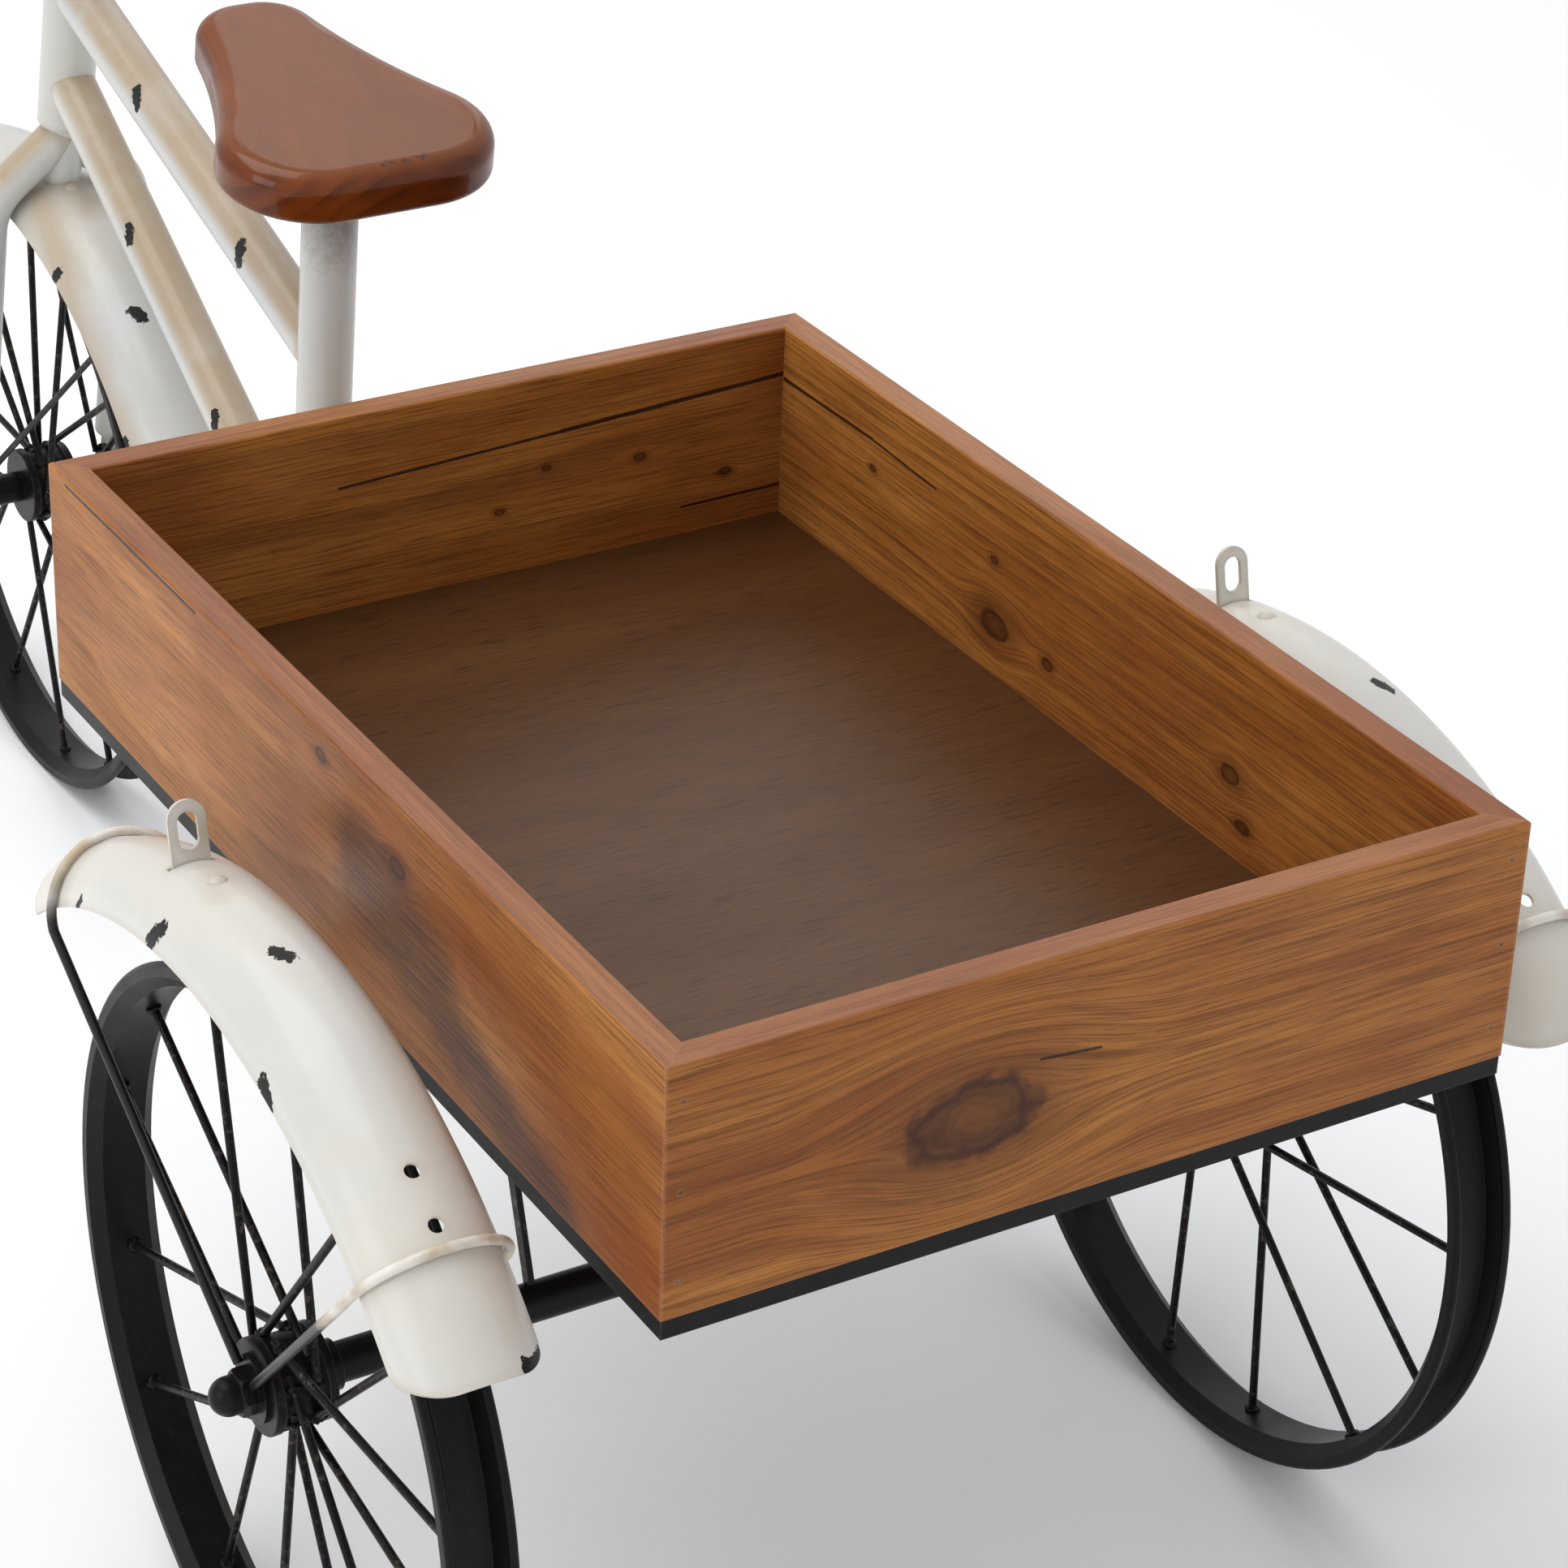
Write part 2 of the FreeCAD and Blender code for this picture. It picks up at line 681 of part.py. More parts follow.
def rivet(centre, y, angle):
    """A domed rivet through the crown and the foot under it."""
    turn = radians(angle)
    out = V(cos(turn), 0, sin(turn))
    head = domed_head(polar(centre, angle, fender_crown_radius - rivet_head_sink_depth, y), out, rivet_radius,
                      rivet_height)
    depth = fender_sheet_thickness + tab_thickness
    return joined(head, crown_rod(centre, y, angle, -depth, 0, rivet_shank_radius))


def build_rear_fenders():
    for name, side in SIDES.items():
        y = side * rear_fender_offset
        sheet = fender(REAR_FENDER, y, rear_fender_start_angle, rear_fender_end_angle,
                       fender_tail_corner_radius, fender_nose_corner_radius)
        for angle in fender_hole_angles:
            sheet = sheet.cut(crown_rod(REAR_FENDER, y, angle, -rivet_radius, rivet_radius,
                                        fender_hole_radius))
        slit = crown_block(REAR_FENDER, y, tab_angle, -rivet_radius, rivet_radius, tab_slit_width,
                           tab_thickness + 2 * tab_slit_gap)
        rivets = [rivet(REAR_FENDER, y, angle) for angle in rivet_angles]
        sheet = sheet.cut(slit).cut(whole(*rivets))
        save("fender_" + name, sheet)
        save("fender_tab_" + name, joined(tab(REAR_FENDER, y), *rivets))
        stays = [wire_stay(side, angle) for angle in (rear_wire_angle, front_wire_angle)]
        save("fender_stays_" + name, whole(*stays))


def washer_edge(axle, target, y, lead):
    """Where a wire stay is welded on a washer's face, turned by lead from the way to its target."""
    turn = degrees(atan2(target.z - axle.z, target.x - axle.x)) + lead
    return polar(axle, turn, wire_foot_radius, y)


def wire_stay(side, angle):
    """A wire from the washer to a fender, hooked over its crown to the inner edge."""
    y = side * rear_fender_offset
    loop = fender_section_radius + wire_radius + wire_gap
    lip = polar(REAR_FENDER, angle, fender_ring_radius, y + side * loop)
    near = polar(REAR_FENDER, angle, fender_ring_radius + loop, y + side * loop)
    far = polar(REAR_FENDER, angle, fender_ring_radius + loop, y - side * loop)
    tail = polar(REAR_FENDER, angle, fender_ring_radius - wire_tail_length, y - side * loop)
    foot = washer_edge(REAR_AXLE, lip, side * (washer_outer_face + wire_radius), 0)
    points = [foot, lip, near, far, tail]
    return bent_rod(points, [wire_knee_radius, loop, loop], wire_radius)


def build_frame():
    """The white frame: head, top, down and seat tubes, the lower shell and the stays."""
    head_top = HEAD_FOOT + HEAD_UP * head_tube_length
    head_solid = rod(HEAD_FOOT, head_top, head_tube_radius)
    cavity = rod(HEAD_FOOT + HEAD_UP * head_bearing_length, head_top - HEAD_UP * head_bearing_length,
                 head_tube_radius - head_tube_wall)
    bore = rod(HEAD_FOOT, head_top, steerer_radius + running_clearance)
    save("head_tube", head_solid.cut(cavity).cut(bore))

    shell_ends = SHELL - V(0, shell_length / 2, 0), SHELL + V(0, shell_length / 2, 0)
    shell_solid = rod(*shell_ends, shell_radius)
    save("lower_shell", tube(*shell_ends, shell_radius, shell_wall))

    seat_top = seat_point(saddle_centre_height)
    seat_solid = rod(SHELL, seat_top, seat_tube_radius)
    above = saddle_block(saddle_plate_under, box_height)
    save("seat_tube", tube(SHELL, seat_top, seat_tube_radius, frame_tube_wall).cut(shell_solid).cut(above))

    top_ends = head_point(top_tube_head_height), seat_point(top_tube_seat_height)
    save("top_tube", tube(*top_ends, top_tube_radius, frame_tube_wall).cut(head_solid).cut(seat_solid))

    down_ends = head_point(down_tube_head_height), SHELL
    down = tube(*down_ends, down_tube_radius, frame_tube_wall)
    save("down_tube", down.cut(head_solid).cut(seat_solid).cut(shell_solid))

    axle_solid = rod(V(rear_axle_x, -axle_tube_end, axle_height), V(rear_axle_x, axle_tube_end, axle_height),
                     axle_tube_radius)
    rail_face = box_x - box_length / 2 + rail_inset_distance
    for name, side in SIDES.items():
        stay = tube(SHELL + V(0, side * stay_shell_offset, 0), REAR_AXLE + V(0, side * stay_axle_offset, 0),
                    stay_radius, stay_wall)
        save("chain_stay_" + name, stay.cut(shell_solid).cut(axle_solid))
        foot = V(rail_face, side * brace_offset, rail_foot + brace_end_above_rail_foot)
        brace = rod(*longer(seat_point(brace_top_height), foot, brace_radius * 2), brace_radius)
        beyond = Part.makeBox(box_length, box_width, box_height,
                              V(rail_face, -box_width / 2, rail_foot - box_height / 2))
        ahead = Part.makeBox(box_length, box_width, box_length,
                             V(seat_point(brace_top_height).x - box_length, -box_width / 2, 0))
        save("tray_brace_" + name, brace.cut(seat_solid).cut(beyond).cut(ahead))


def saddle_frame(shape):
    """Turn a piece built flat about the saddle's centre into its pitched place."""
    shape.rotate(V(0, 0, 0), V(0, 1, 0), saddle_pitch)
    shape.translate(V(rear_axle_x - saddle_ahead_of_axle, 0, saddle_centre_height))
    return shape


def saddle_block(low, thickness):
    """A wide block in the saddle's frame that starts at a depth."""
    block = Part.makeBox(box_length, box_width, thickness, V(-box_length / 2, -box_width / 2, low))
    return saddle_frame(block)


def saddle_outline():
    """Rear edge, rear corner, hollow flank, nose corner and nose edge, then the other side."""
    rear, nose = (0, saddle_rear_corner_offset), (saddle_nose_distance, saddle_nose_offset)
    reach_rear = saddle_flank_radius + saddle_rear_corner_radius
    reach_nose = saddle_flank_radius + saddle_nose_radius
    gap = hypot(nose[0] - rear[0], nose[1] - rear[1])
    along = (reach_rear ** 2 - reach_nose ** 2 + gap ** 2) / (2 * gap)
    out = sqrt(reach_rear ** 2 - along ** 2)
    ux, uy = (nose[0] - rear[0]) / gap, (nose[1] - rear[1]) / gap
    flank = (rear[0] + along * ux - out * uy, rear[1] + along * uy + out * ux)

    def on(centre, target, radius, side):
        turn = atan2(target[1] - centre[1], target[0] - centre[0])
        return V(-centre[0] - radius * cos(turn), side * (centre[1] + radius * sin(turn)), 0)

    def on_angle(centre, turn, radius, side):
        return V(-centre[0] - radius * cos(turn), side * (centre[1] + radius * sin(turn)), 0)

    def half(side):
        to_flank = atan2(flank[1] - rear[1], flank[0] - rear[0])
        tail = on_angle(rear, radians(180), saddle_rear_corner_radius, side)
        tail_mid = on_angle(rear, (radians(180) + to_flank) / 2, saddle_rear_corner_radius, side)
        hip = on(rear, flank, saddle_rear_corner_radius, side)
        from_rear = atan2(rear[1] - flank[1], rear[0] - flank[0])
        from_nose = atan2(nose[1] - flank[1], nose[0] - flank[0])
        waist = on_angle(flank, (from_rear + from_nose) / 2, saddle_flank_radius, side)
        cheek = on(nose, flank, saddle_nose_radius, side)
        nose_turn = atan2(flank[1] - nose[1], flank[0] - nose[0])
        cheek_mid = on_angle(nose, nose_turn / 2, saddle_nose_radius, side)
        tip = on_angle(nose, 0, saddle_nose_radius, side)
        arcs = [Part.Arc(tail, tail_mid, hip).toShape(), Part.Arc(hip, waist, cheek).toShape(),
                Part.Arc(cheek, cheek_mid, tip).toShape()]
        return arcs, tail, tip

    near, near_tail, near_tip = half(1)
    far, far_tail, far_tip = half(-1)
    nose_edge = Part.LineSegment(near_tip, far_tip).toShape()
    rear_edge = Part.LineSegment(far_tail, near_tail).toShape()
    return Part.Wire(near + [nose_edge] + far[::-1] + [rear_edge])


def saddle_screw_places():
    half_u = saddle_plate_length / 2 - saddle_screw_margin
    half_w = saddle_plate_width / 2 - saddle_screw_margin
    return [(u, w) for u in (-half_u, half_u) for w in (-half_w, half_w)]


def build_saddle():
    """The wooden saddle, the plate that it is screwed to, and the screws."""
    plate_x = plate_centre_x()
    shanks, heads = [], []
    for u, w in saddle_screw_places():
        start = V(plate_x + u, w, saddle_plate_under)
        shanks.append(rod(start, start + V(0, 0, saddle_plate_thickness + saddle_screw_depth),
                          saddle_screw_radius))
        heads.append(domed_head(start, V(0, 0, -1), saddle_screw_head_radius, saddle_screw_head_height))
    holes = whole(*shanks)
    half = saddle_thickness / 2
    body = Part.Face(saddle_outline()).extrude(V(0, 0, saddle_thickness))
    body.translate(V(0, 0, -half))
    body = body.makeFillet(saddle_top_edge_radius, level_edges(body, half, 0))
    body = body.makeFillet(saddle_bottom_edge_radius, level_edges(body, -half, 0))
    save("saddle", saddle_frame(body.cut(holes)))
    plate = Part.makeBox(saddle_plate_length, saddle_plate_width, saddle_plate_thickness,
                         V(plate_x - saddle_plate_length / 2, -saddle_plate_width / 2, saddle_plate_under))
    plate = plate.makeFillet(saddle_plate_corner_radius, upright_edges(plate))
    save("saddle_plate", saddle_frame(plate.cut(holes)))
    screws = [joined(head, shank) for head, shank in zip(heads, shanks)]
    save("saddle_screws", saddle_frame(whole(*screws)))


def plate_centre_x():
    """Where the seat tube's axis meets the plate, in the saddle's own frame."""
    centre = V(rear_axle_x - saddle_ahead_of_axle, 0, saddle_centre_height)
    axis_here = seat_point(saddle_centre_height - saddle_thickness)
    return (axis_here - centre).x * cos(radians(saddle_pitch))


def bar_points(side):
    """The handlebar's corners on one side, from the middle to the grip's end."""
    return [STEERER_TOP + V(-bar_forward_distance, side * bar_rise_foot_offset, 0),
            STEERER_TOP + V(0, side * bar_top_offset, bar_rise_height),
            STEERER_TOP + V(bar_sweep_length, side * bar_grip_offset, bar_rise_height - bar_grip_drop_height)]


def front_stay(side, angle, washer_face):
    """A straight wire from the edge of the front washer to the inside of the fender's lip."""
    lip_y = fender_half_width - fender_sheet_thickness - front_stay_radius
    lip_ring = fender_ring_radius + fender_section_radius * cos(radians(fender_half_opening_angle))
    target = polar(FRONT_FENDER, angle, lip_ring + front_stay_lip_depth, side * lip_y)
    foot = washer_edge(FRONT_AXLE, target, side * (washer_face - front_stay_radius), front_stay_lead)
    return rod(foot, target, front_stay_radius)


def build_fork():
    """Everything that steers, apart from the front wheel."""
    filled = fender_face(FRONT_FENDER, 0, fender_section_radius, 0, fender_half_opening_angle)
    crown = swept(filled, FRONT_FENDER, front_fender_start_angle, front_fender_end_angle)
    sheet = fender(FRONT_FENDER, 0, front_fender_start_angle, front_fender_end_angle, fender_tail_corner_radius,
                   fender_nose_corner_radius)
    bar = [*bar_points(-1)[::-1], STEERER_TOP - V(0, bar_centre_half_width, 0),
           STEERER_TOP + V(0, bar_centre_half_width, 0), *bar_points(1)]
    bends = [bar_bend_radius] * (len(bar) - 2)
    bar_solid = bent_rod(bar, bends, handlebar_radius)
    foot = head_point(fork_shoulder_height)
    steerer_solid = rod(foot, STEERER_TOP, steerer_radius)
    hollow = rod(foot, STEERER_TOP, steerer_radius - steerer_wall)
    steerer = steerer_solid.cut(hollow).cut(crown).cut(bar_solid)
    save("steerer", max(steerer.Solids, key=lambda s: s.Volume))
    save("handlebar", bar_solid.cut(bent_rod(bar, bends, handlebar_radius - handlebar_wall)))

    seat_angle = degrees(atan2(foot.z - FRONT_FENDER.z, foot.x - FRONT_FENDER.x))
    step = degrees((steerer_radius + front_rivet_distance) / fender_crown_radius)
    save("front_fender", joined(sheet, rivet(FRONT_FENDER, 0, seat_angle - step)))

    save("head_collar", rod(COLLAR_FOOT, COLLAR_TOP, head_collar_radius).cut(steerer_solid))

    inner_face = fork_leg_offset - dropout_thickness / 2
    outer_face = fork_leg_offset + dropout_thickness / 2
    shaft_half = outer_face + front_nut_thickness
    hub_face = hub_length / 2 + axial_clearance
    shaft = turned([(-shaft_half, 0), (-shaft_half, stub_radius), (-inner_face, stub_radius),
                    (-inner_face, front_collar_radius), (-hub_face, front_collar_radius),
                    (-hub_face, stub_radius), (hub_face, stub_radius), (hub_face, front_collar_radius),
                    (inner_face, front_collar_radius), (inner_face, stub_radius),
                    (shaft_half, stub_radius), (shaft_half, 0)], FRONT_AXLE, V(0, 1, 0))
    save("front_axle", shaft)
    nuts, washers, stays = [], [], []
    for name, side in SIDES.items():
        out = V(0, side, 0)
        washer_face = inner_face - washer_thickness
        washers.append(turned([(washer_face, front_collar_radius), (washer_face, washer_radius),
                               (inner_face, washer_radius), (inner_face, front_collar_radius)],
                              FRONT_AXLE, out))
        stays += [front_stay(side, angle, washer_face).cut(sheet) for angle in front_stay_angles]
        nuts.append(hexagon(FRONT_AXLE + out * outer_face, out, nut_across_flats,
                            front_nut_thickness).cut(shaft))
        root = head_point(fork_leg_root_height)
        shoulder = head_point(fork_shoulder_height) + out * fork_leg_offset
        tip = FRONT_AXLE + out * fork_leg_offset + HEAD_UP * (dropout_length - dropout_radius * 2)
        leg = bent_tube([root, shoulder, tip], [fork_shoulder_bend_radius], fork_leg_radius, fork_leg_wall)
        leg = leg.cut(steerer_solid)
        leg = max(leg.Solids, key=lambda s: s.Volume)
        plate_foot = FRONT_AXLE + out * inner_face
        disc = Part.makeCylinder(dropout_radius, dropout_thickness, plate_foot, out)
        blade = Part.makeBox(2 * dropout_radius, dropout_thickness, dropout_length,
                             V(-dropout_radius, -dropout_thickness / 2, 0))
        blade.rotate(V(0, 0, 0), V(0, 1, 0), head_lean)
        blade.translate(FRONT_AXLE + out * fork_leg_offset)
        hole = Part.makeCylinder(stub_radius, dropout_thickness, plate_foot, out)
        save("fork_leg_" + name, joined(leg, disc, blade).cut(hole))
        inner, grip_end = bar_points(side)[1:]
        run = (grip_end - inner).normalize()
        grip = rod(grip_end - run * (grip_length - grip_end_wall), grip_end + run * grip_end_wall,
                   grip_radius)
        grip = grip.makeFillet(grip_end_edge_radius, [e for e in grip.Edges if e.Closed])
        save("grip_" + name, grip.cut(rod(inner, grip_end, handlebar_radius)))
    save("front_nuts", whole(*nuts))
    save("front_stays", whole(*washers, *[max(stay.Solids, key=lambda s: s.Volume) for stay in stays]))


build_box()
build_tray_frame()
build_axle()
build_frame()
build_saddle()
build_fork()
build_rear_fenders()
build_wheel("front_wheel", FRONT_AXLE, front_spoke_phase, 1)
for wheel_name, wheel_side in SIDES.items():
    wheel_phase = left_spoke_phase if wheel_side < 0 else right_spoke_phase
    build_wheel(wheel_name + "_wheel", REAR_AXLE + V(0, wheel_side * wheel_offset, 0), wheel_phase,
                wheel_side)
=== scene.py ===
# %% [markdown]
# A tricycle plant stand, dressed for its picture. The steel and wood were built as solids and come
# in here as a fixed frame, in metres, with z = 0 on the ground, the front wheel towards -X and the
# planter towards +X. This lesson adds what solids cannot say: stained pine with knots and cracks,
# white enamel with brown shading and chips, worn black steel, weld beads, light and a camera.

# %% Load the frame
import bpy
import bmesh
import math
from mathutils import Matrix, Vector, noise


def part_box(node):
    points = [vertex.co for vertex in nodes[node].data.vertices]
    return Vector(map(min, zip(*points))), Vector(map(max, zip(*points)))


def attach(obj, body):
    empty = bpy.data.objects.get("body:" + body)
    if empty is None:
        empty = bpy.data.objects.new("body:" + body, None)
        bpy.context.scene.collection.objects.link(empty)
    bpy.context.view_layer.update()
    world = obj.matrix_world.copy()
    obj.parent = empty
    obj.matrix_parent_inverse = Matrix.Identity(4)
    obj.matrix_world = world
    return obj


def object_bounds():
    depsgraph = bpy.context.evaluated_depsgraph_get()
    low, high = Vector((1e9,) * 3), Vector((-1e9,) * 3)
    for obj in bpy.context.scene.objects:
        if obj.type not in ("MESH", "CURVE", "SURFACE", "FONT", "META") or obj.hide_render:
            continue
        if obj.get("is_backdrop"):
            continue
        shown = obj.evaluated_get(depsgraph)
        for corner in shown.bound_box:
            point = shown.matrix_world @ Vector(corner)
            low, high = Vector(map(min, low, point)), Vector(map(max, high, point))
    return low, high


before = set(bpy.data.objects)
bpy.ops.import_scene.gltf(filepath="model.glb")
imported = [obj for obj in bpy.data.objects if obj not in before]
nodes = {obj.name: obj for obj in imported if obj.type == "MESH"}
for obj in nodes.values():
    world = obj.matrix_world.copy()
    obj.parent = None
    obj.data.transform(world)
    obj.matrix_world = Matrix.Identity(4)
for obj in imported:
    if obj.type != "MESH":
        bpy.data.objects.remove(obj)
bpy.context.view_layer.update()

# %% [markdown]
# Everything that must sit right is placed from the planter box, so its outside comes first: the four
# boards' boxes taken together. The rear axle's line comes from the two rear rims.

# %% Measure the planter and the rear axle
BOARDS = ("board_left", "board_right", "board_front", "board_rear")
tray_low = Vector(min(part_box(name)[0][k] for name in BOARDS) for k in range(3))
tray_high = Vector(max(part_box(name)[1][k] for name in BOARDS) for k in range(3))
tray_top = Vector(((tray_low.x + tray_high.x) / 2, 0, tray_high.z))


def middle(name):
    """The middle of a node's box."""
    low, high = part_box(name)
    return (low + high) / 2


rear_axle = (middle("left_wheel_rim") + middle("right_wheel_rim")) / 2
print("tray", tray_low, tray_high, "rear axle", rear_axle)

# %% [markdown]
# The camera stands where the photographer's did. Its place was worked out from the corners of the
# planter in the photograph: a long lens, looking down by 29 degrees from behind and to the left,
# and turned a little about its own axis.

# %% Camera
FRAME_PIXELS = 1932
FOCAL_PIXELS = 5464.8
SENSOR_WIDTH = 36.0
camera_from_tray = Vector((1.4640, -0.8765, 0.8705))
azimuth, elevation, roll = math.radians(58.39), math.radians(29.0), math.radians(2.17)

back = Vector((math.sin(azimuth) * math.cos(elevation), -math.cos(azimuth) * math.cos(elevation),
               math.sin(elevation)))
level = Vector((0, 0, 1)).cross(back).normalized()
rise = back.cross(level)
right = level * math.cos(roll) + rise * math.sin(roll)
up = rise * math.cos(roll) - level * math.sin(roll)

camera_data = bpy.data.cameras.new("photo_camera")
camera_data.sensor_width = SENSOR_WIDTH
camera_data.lens = FOCAL_PIXELS / FRAME_PIXELS * SENSOR_WIDTH
camera = bpy.data.objects.new("photo_camera", camera_data)
camera.matrix_world = Matrix.Translation(tray_top + camera_from_tray) @ Matrix(
    (right, up, back)).transposed().to_4x4()
bpy.context.scene.collection.objects.link(camera)
bpy.context.scene.camera = camera
print("lens", round(camera_data.lens, 2))

# %% [markdown]
# Shader trees are long to write by hand, so a few helpers keep each step on a line: one adds a node
# and fills or links its inputs, and the others are arithmetic, blending and smooth steps.

# %% Shader helpers
def fill(tree, made, inputs):
    """Give a shader node its inputs, as values or as sockets to link."""
    for name, value in inputs.items():
        if isinstance(value, bpy.types.NodeSocket):
            tree.links.new(value, made.inputs[name])
        else:
            made.inputs[name].default_value = value


def add(tree, kind, inputs=None, **settings):
    """One shader node with its settings and inputs."""
    made = tree.nodes.new(kind)
    for name, value in settings.items():
        setattr(made, name, value)
    fill(tree, made, inputs or {})
    return made


def calc(tree, operation, a, b=0.0, clamp=False):
    """A sum, product or other arithmetic on two numbers."""
    return add(tree, "ShaderNodeMath", {0: a, 1: b}, operation=operation, use_clamp=clamp).outputs[0]


def vec(tree, operation, a, b=(0, 0, 0)):
    """Arithmetic on two vectors. Lengths and dot products come out as numbers."""
    made = add(tree, "ShaderNodeVectorMath", {0: a, 1: b}, operation=operation)
    return made.outputs["Value" if operation in ("LENGTH", "DOT_PRODUCT") else "Vector"]


def scaled(tree, vector, factor):
    """A vector times a number."""
    return add(tree, "ShaderNodeVectorMath", {0: vector, "Scale": factor}, operation="SCALE").outputs[0]


def step(tree, value, low, high, start=0.0, end=1.0):
    """A smooth step from start at low to end at high."""
    made = add(tree, "ShaderNodeMapRange", {"Value": value, "From Min": low, "From Max": high,
                                            "To Min": start, "To Max": end},
               interpolation_type="SMOOTHSTEP")
    return made.outputs[0]


def blend(tree, factor, a, b, mode="MIX"):
    """A colour between a and b, or a times b with the mode MULTIPLY."""
    return add(tree, "ShaderNodeMix", {0: factor, 6: a, 7: b}, data_type="RGBA", blend_type=mode).outputs[2]


def clouds(tree, vector, scale, detail=4.0, roughness=0.55):
    """Smooth noise from 0 to 1."""
    return add(tree, "ShaderNodeTexNoise", {"Vector": vector, "Scale": scale, "Detail": detail,
                                            "Roughness": roughness}).outputs["Fac"]


def ink(red, green, blue):
    """A colour as seen on a screen, 0 to 255, turned into light."""
    def light(v):
        v /= 255
        return v / 12.92 if v <= 0.04045 else ((v + 0.055) / 1.055) ** 2.4
    return light(red), light(green), light(blue), 1.0


def new_group(name, inputs, outputs):
    """An empty node group with named inputs (label, kind, value) and outputs (label, kind)."""
    tree = bpy.data.node_groups.new(name, "ShaderNodeTree")
    for label, kind, value in inputs:
        socket = tree.interface.new_socket(label, in_out="INPUT", socket_type="NodeSocket" + kind)
        if value is not None:
            socket.default_value = value
    for label, kind in outputs:
        tree.interface.new_socket(label, in_out="OUTPUT", socket_type="NodeSocket" + kind)
    return tree, tree.nodes.new("NodeGroupInput").outputs, tree.nodes.new("NodeGroupOutput").inputs


def use(tree, group, inputs):
    """A copy of a node group in a tree."""
    made = tree.nodes.new("ShaderNodeGroup")
    made.node_tree = group
    fill(tree, made, inputs)
    return made.outputs


print("mid grey as light", round(ink(128, 128, 128)[0], 3))

# %% [markdown]
# Chips in the paint, cracks in a board and soft smudges are one thing at three scales: a spot drawn
# along a short line, with a ragged edge. One group makes them all. It takes the mask so far and
# gives back the larger of the two, so that spots are strung one after another.

# %% Group: a ragged spot along a line
spot_group, inlet, outlet = new_group(
    "Ragged spot", [("Position", "Vector", None), ("Start", "Vector", None), ("End", "Vector", None),
                    ("Radius", "Float", 0.004), ("Ragged", "Float", 0.4), ("Fine", "Float", 450.0),
                    ("Soft", "Float", 0.15), ("Mask", "Float", 0.0)], [("Mask", "Float")])
t = spot_group
run = vec(t, "SUBTRACT", inlet["End"], inlet["Start"])
away = vec(t, "SUBTRACT", inlet["Position"], inlet["Start"])
share = calc(t, "DIVIDE", vec(t, "DOT_PRODUCT", away, run), vec(t, "DOT_PRODUCT", run, run), clamp=True)
distance = vec(t, "LENGTH", vec(t, "SUBTRACT", away, scaled(t, run, share)))
grit = clouds(t, inlet["Position"], inlet["Fine"], 3.0, 0.6)
grit = calc(t, "MULTIPLY", calc(t, "SUBTRACT", grit, 0.5), inlet["Ragged"])
reach = calc(t, "ADD", calc(t, "DIVIDE", distance, inlet["Radius"]), calc(t, "MULTIPLY", grit, 4.0))
edge = calc(t, "SUBTRACT", reach, 1.0)
inside = calc(t, "SUBTRACT", 0.5, calc(t, "DIVIDE", edge, inlet["Soft"]), clamp=True)
t.links.new(calc(t, "MAXIMUM", inside, inlet["Mask"]), outlet["Mask"])


def spots(tree, position, marks, **settings):
    """A string of spots. Each mark is (start, end, radius), in metres."""
    mask = 0.0
    for start, end, radius in marks:
        mask = use(tree, spot_group, {"Position": position, "Start": start, "End": end, "Radius": radius,
                                      "Mask": mask, **settings})["Mask"]
    return mask


def marks_mm(*rows, origin=(0, 0, 0)):
    """Marks from rows of start x, y, z, end x, y, z and radius, in millimetres from an origin."""
    def place(values):
        return tuple(base + value / 1000 for base, value in zip(origin, values))
    return [(place(row[:3]), place(row[3:6]), row[6] / 1000) for row in rows]


print("spot group nodes", len(spot_group.nodes))

# %% [markdown]
# Wear needs to know where the corners are. The Bevel node rounds the normals near a corner, so the
# difference between the rounded and the true normal is a mask of the edges. Noise breaks it up.

# %% Group: worn edges
wear_group, inlet, outlet = new_group(
    "Worn edges", [("Position", "Vector", None), ("Width", "Float", 0.0015), ("Broken", "Float", 0.5),
                   ("Fine", "Float", 220.0)], [("Mask", "Float")])
t = wear_group
rounded = add(t, "ShaderNodeBevel", {"Radius": inlet["Width"]}, samples=4).outputs[0]
true_normal = add(t, "ShaderNodeNewGeometry").outputs["Normal"]
turn = calc(t, "SUBTRACT", 1.0, vec(t, "DOT_PRODUCT", rounded, true_normal))
gaps = calc(t, "MULTIPLY", clouds(t, inlet["Position"], inlet["Fine"], 4.0, 0.65), inlet["Broken"])
t.links.new(step(t, calc(t, "SUBTRACT", turn, calc(t, "MULTIPLY", gaps, 0.12)), 0.005, 0.07),
            outlet["Mask"])
print("wear group nodes", len(wear_group.nodes))

# %% [markdown]
# A hand-rubbed or sprayed surface never shines evenly. This group gives a slow variation for the
# gloss and a fine one for bumps, at the scale that each material asks for.

# %% Group: uneven finish
finish_group, inlet, outlet = new_group(
    "Uneven finish", [("Position", "Vector", None), ("Slow", "Float", 25.0), ("Fine", "Float", 900.0),
                      ("Base", "Float", 0.4), ("Spread", "Float", 0.15)],
    [("Roughness", "Float"), ("Height", "Float"), ("Slow", "Float")])
t = finish_group
slow = clouds(t, inlet["Position"], inlet["Slow"], 3.0)
fine = clouds(t, inlet["Position"], inlet["Fine"], 2.0)
shine = calc(t, "MULTIPLY", calc(t, "SUBTRACT", slow, 0.5), inlet["Spread"])
t.links.new(calc(t, "ADD", inlet["Base"], shine), outlet["Roughness"])
t.links.new(fine, outlet["Height"])
t.links.new(slow, outlet["Slow"])
print("finish group nodes", len(finish_group.nodes))

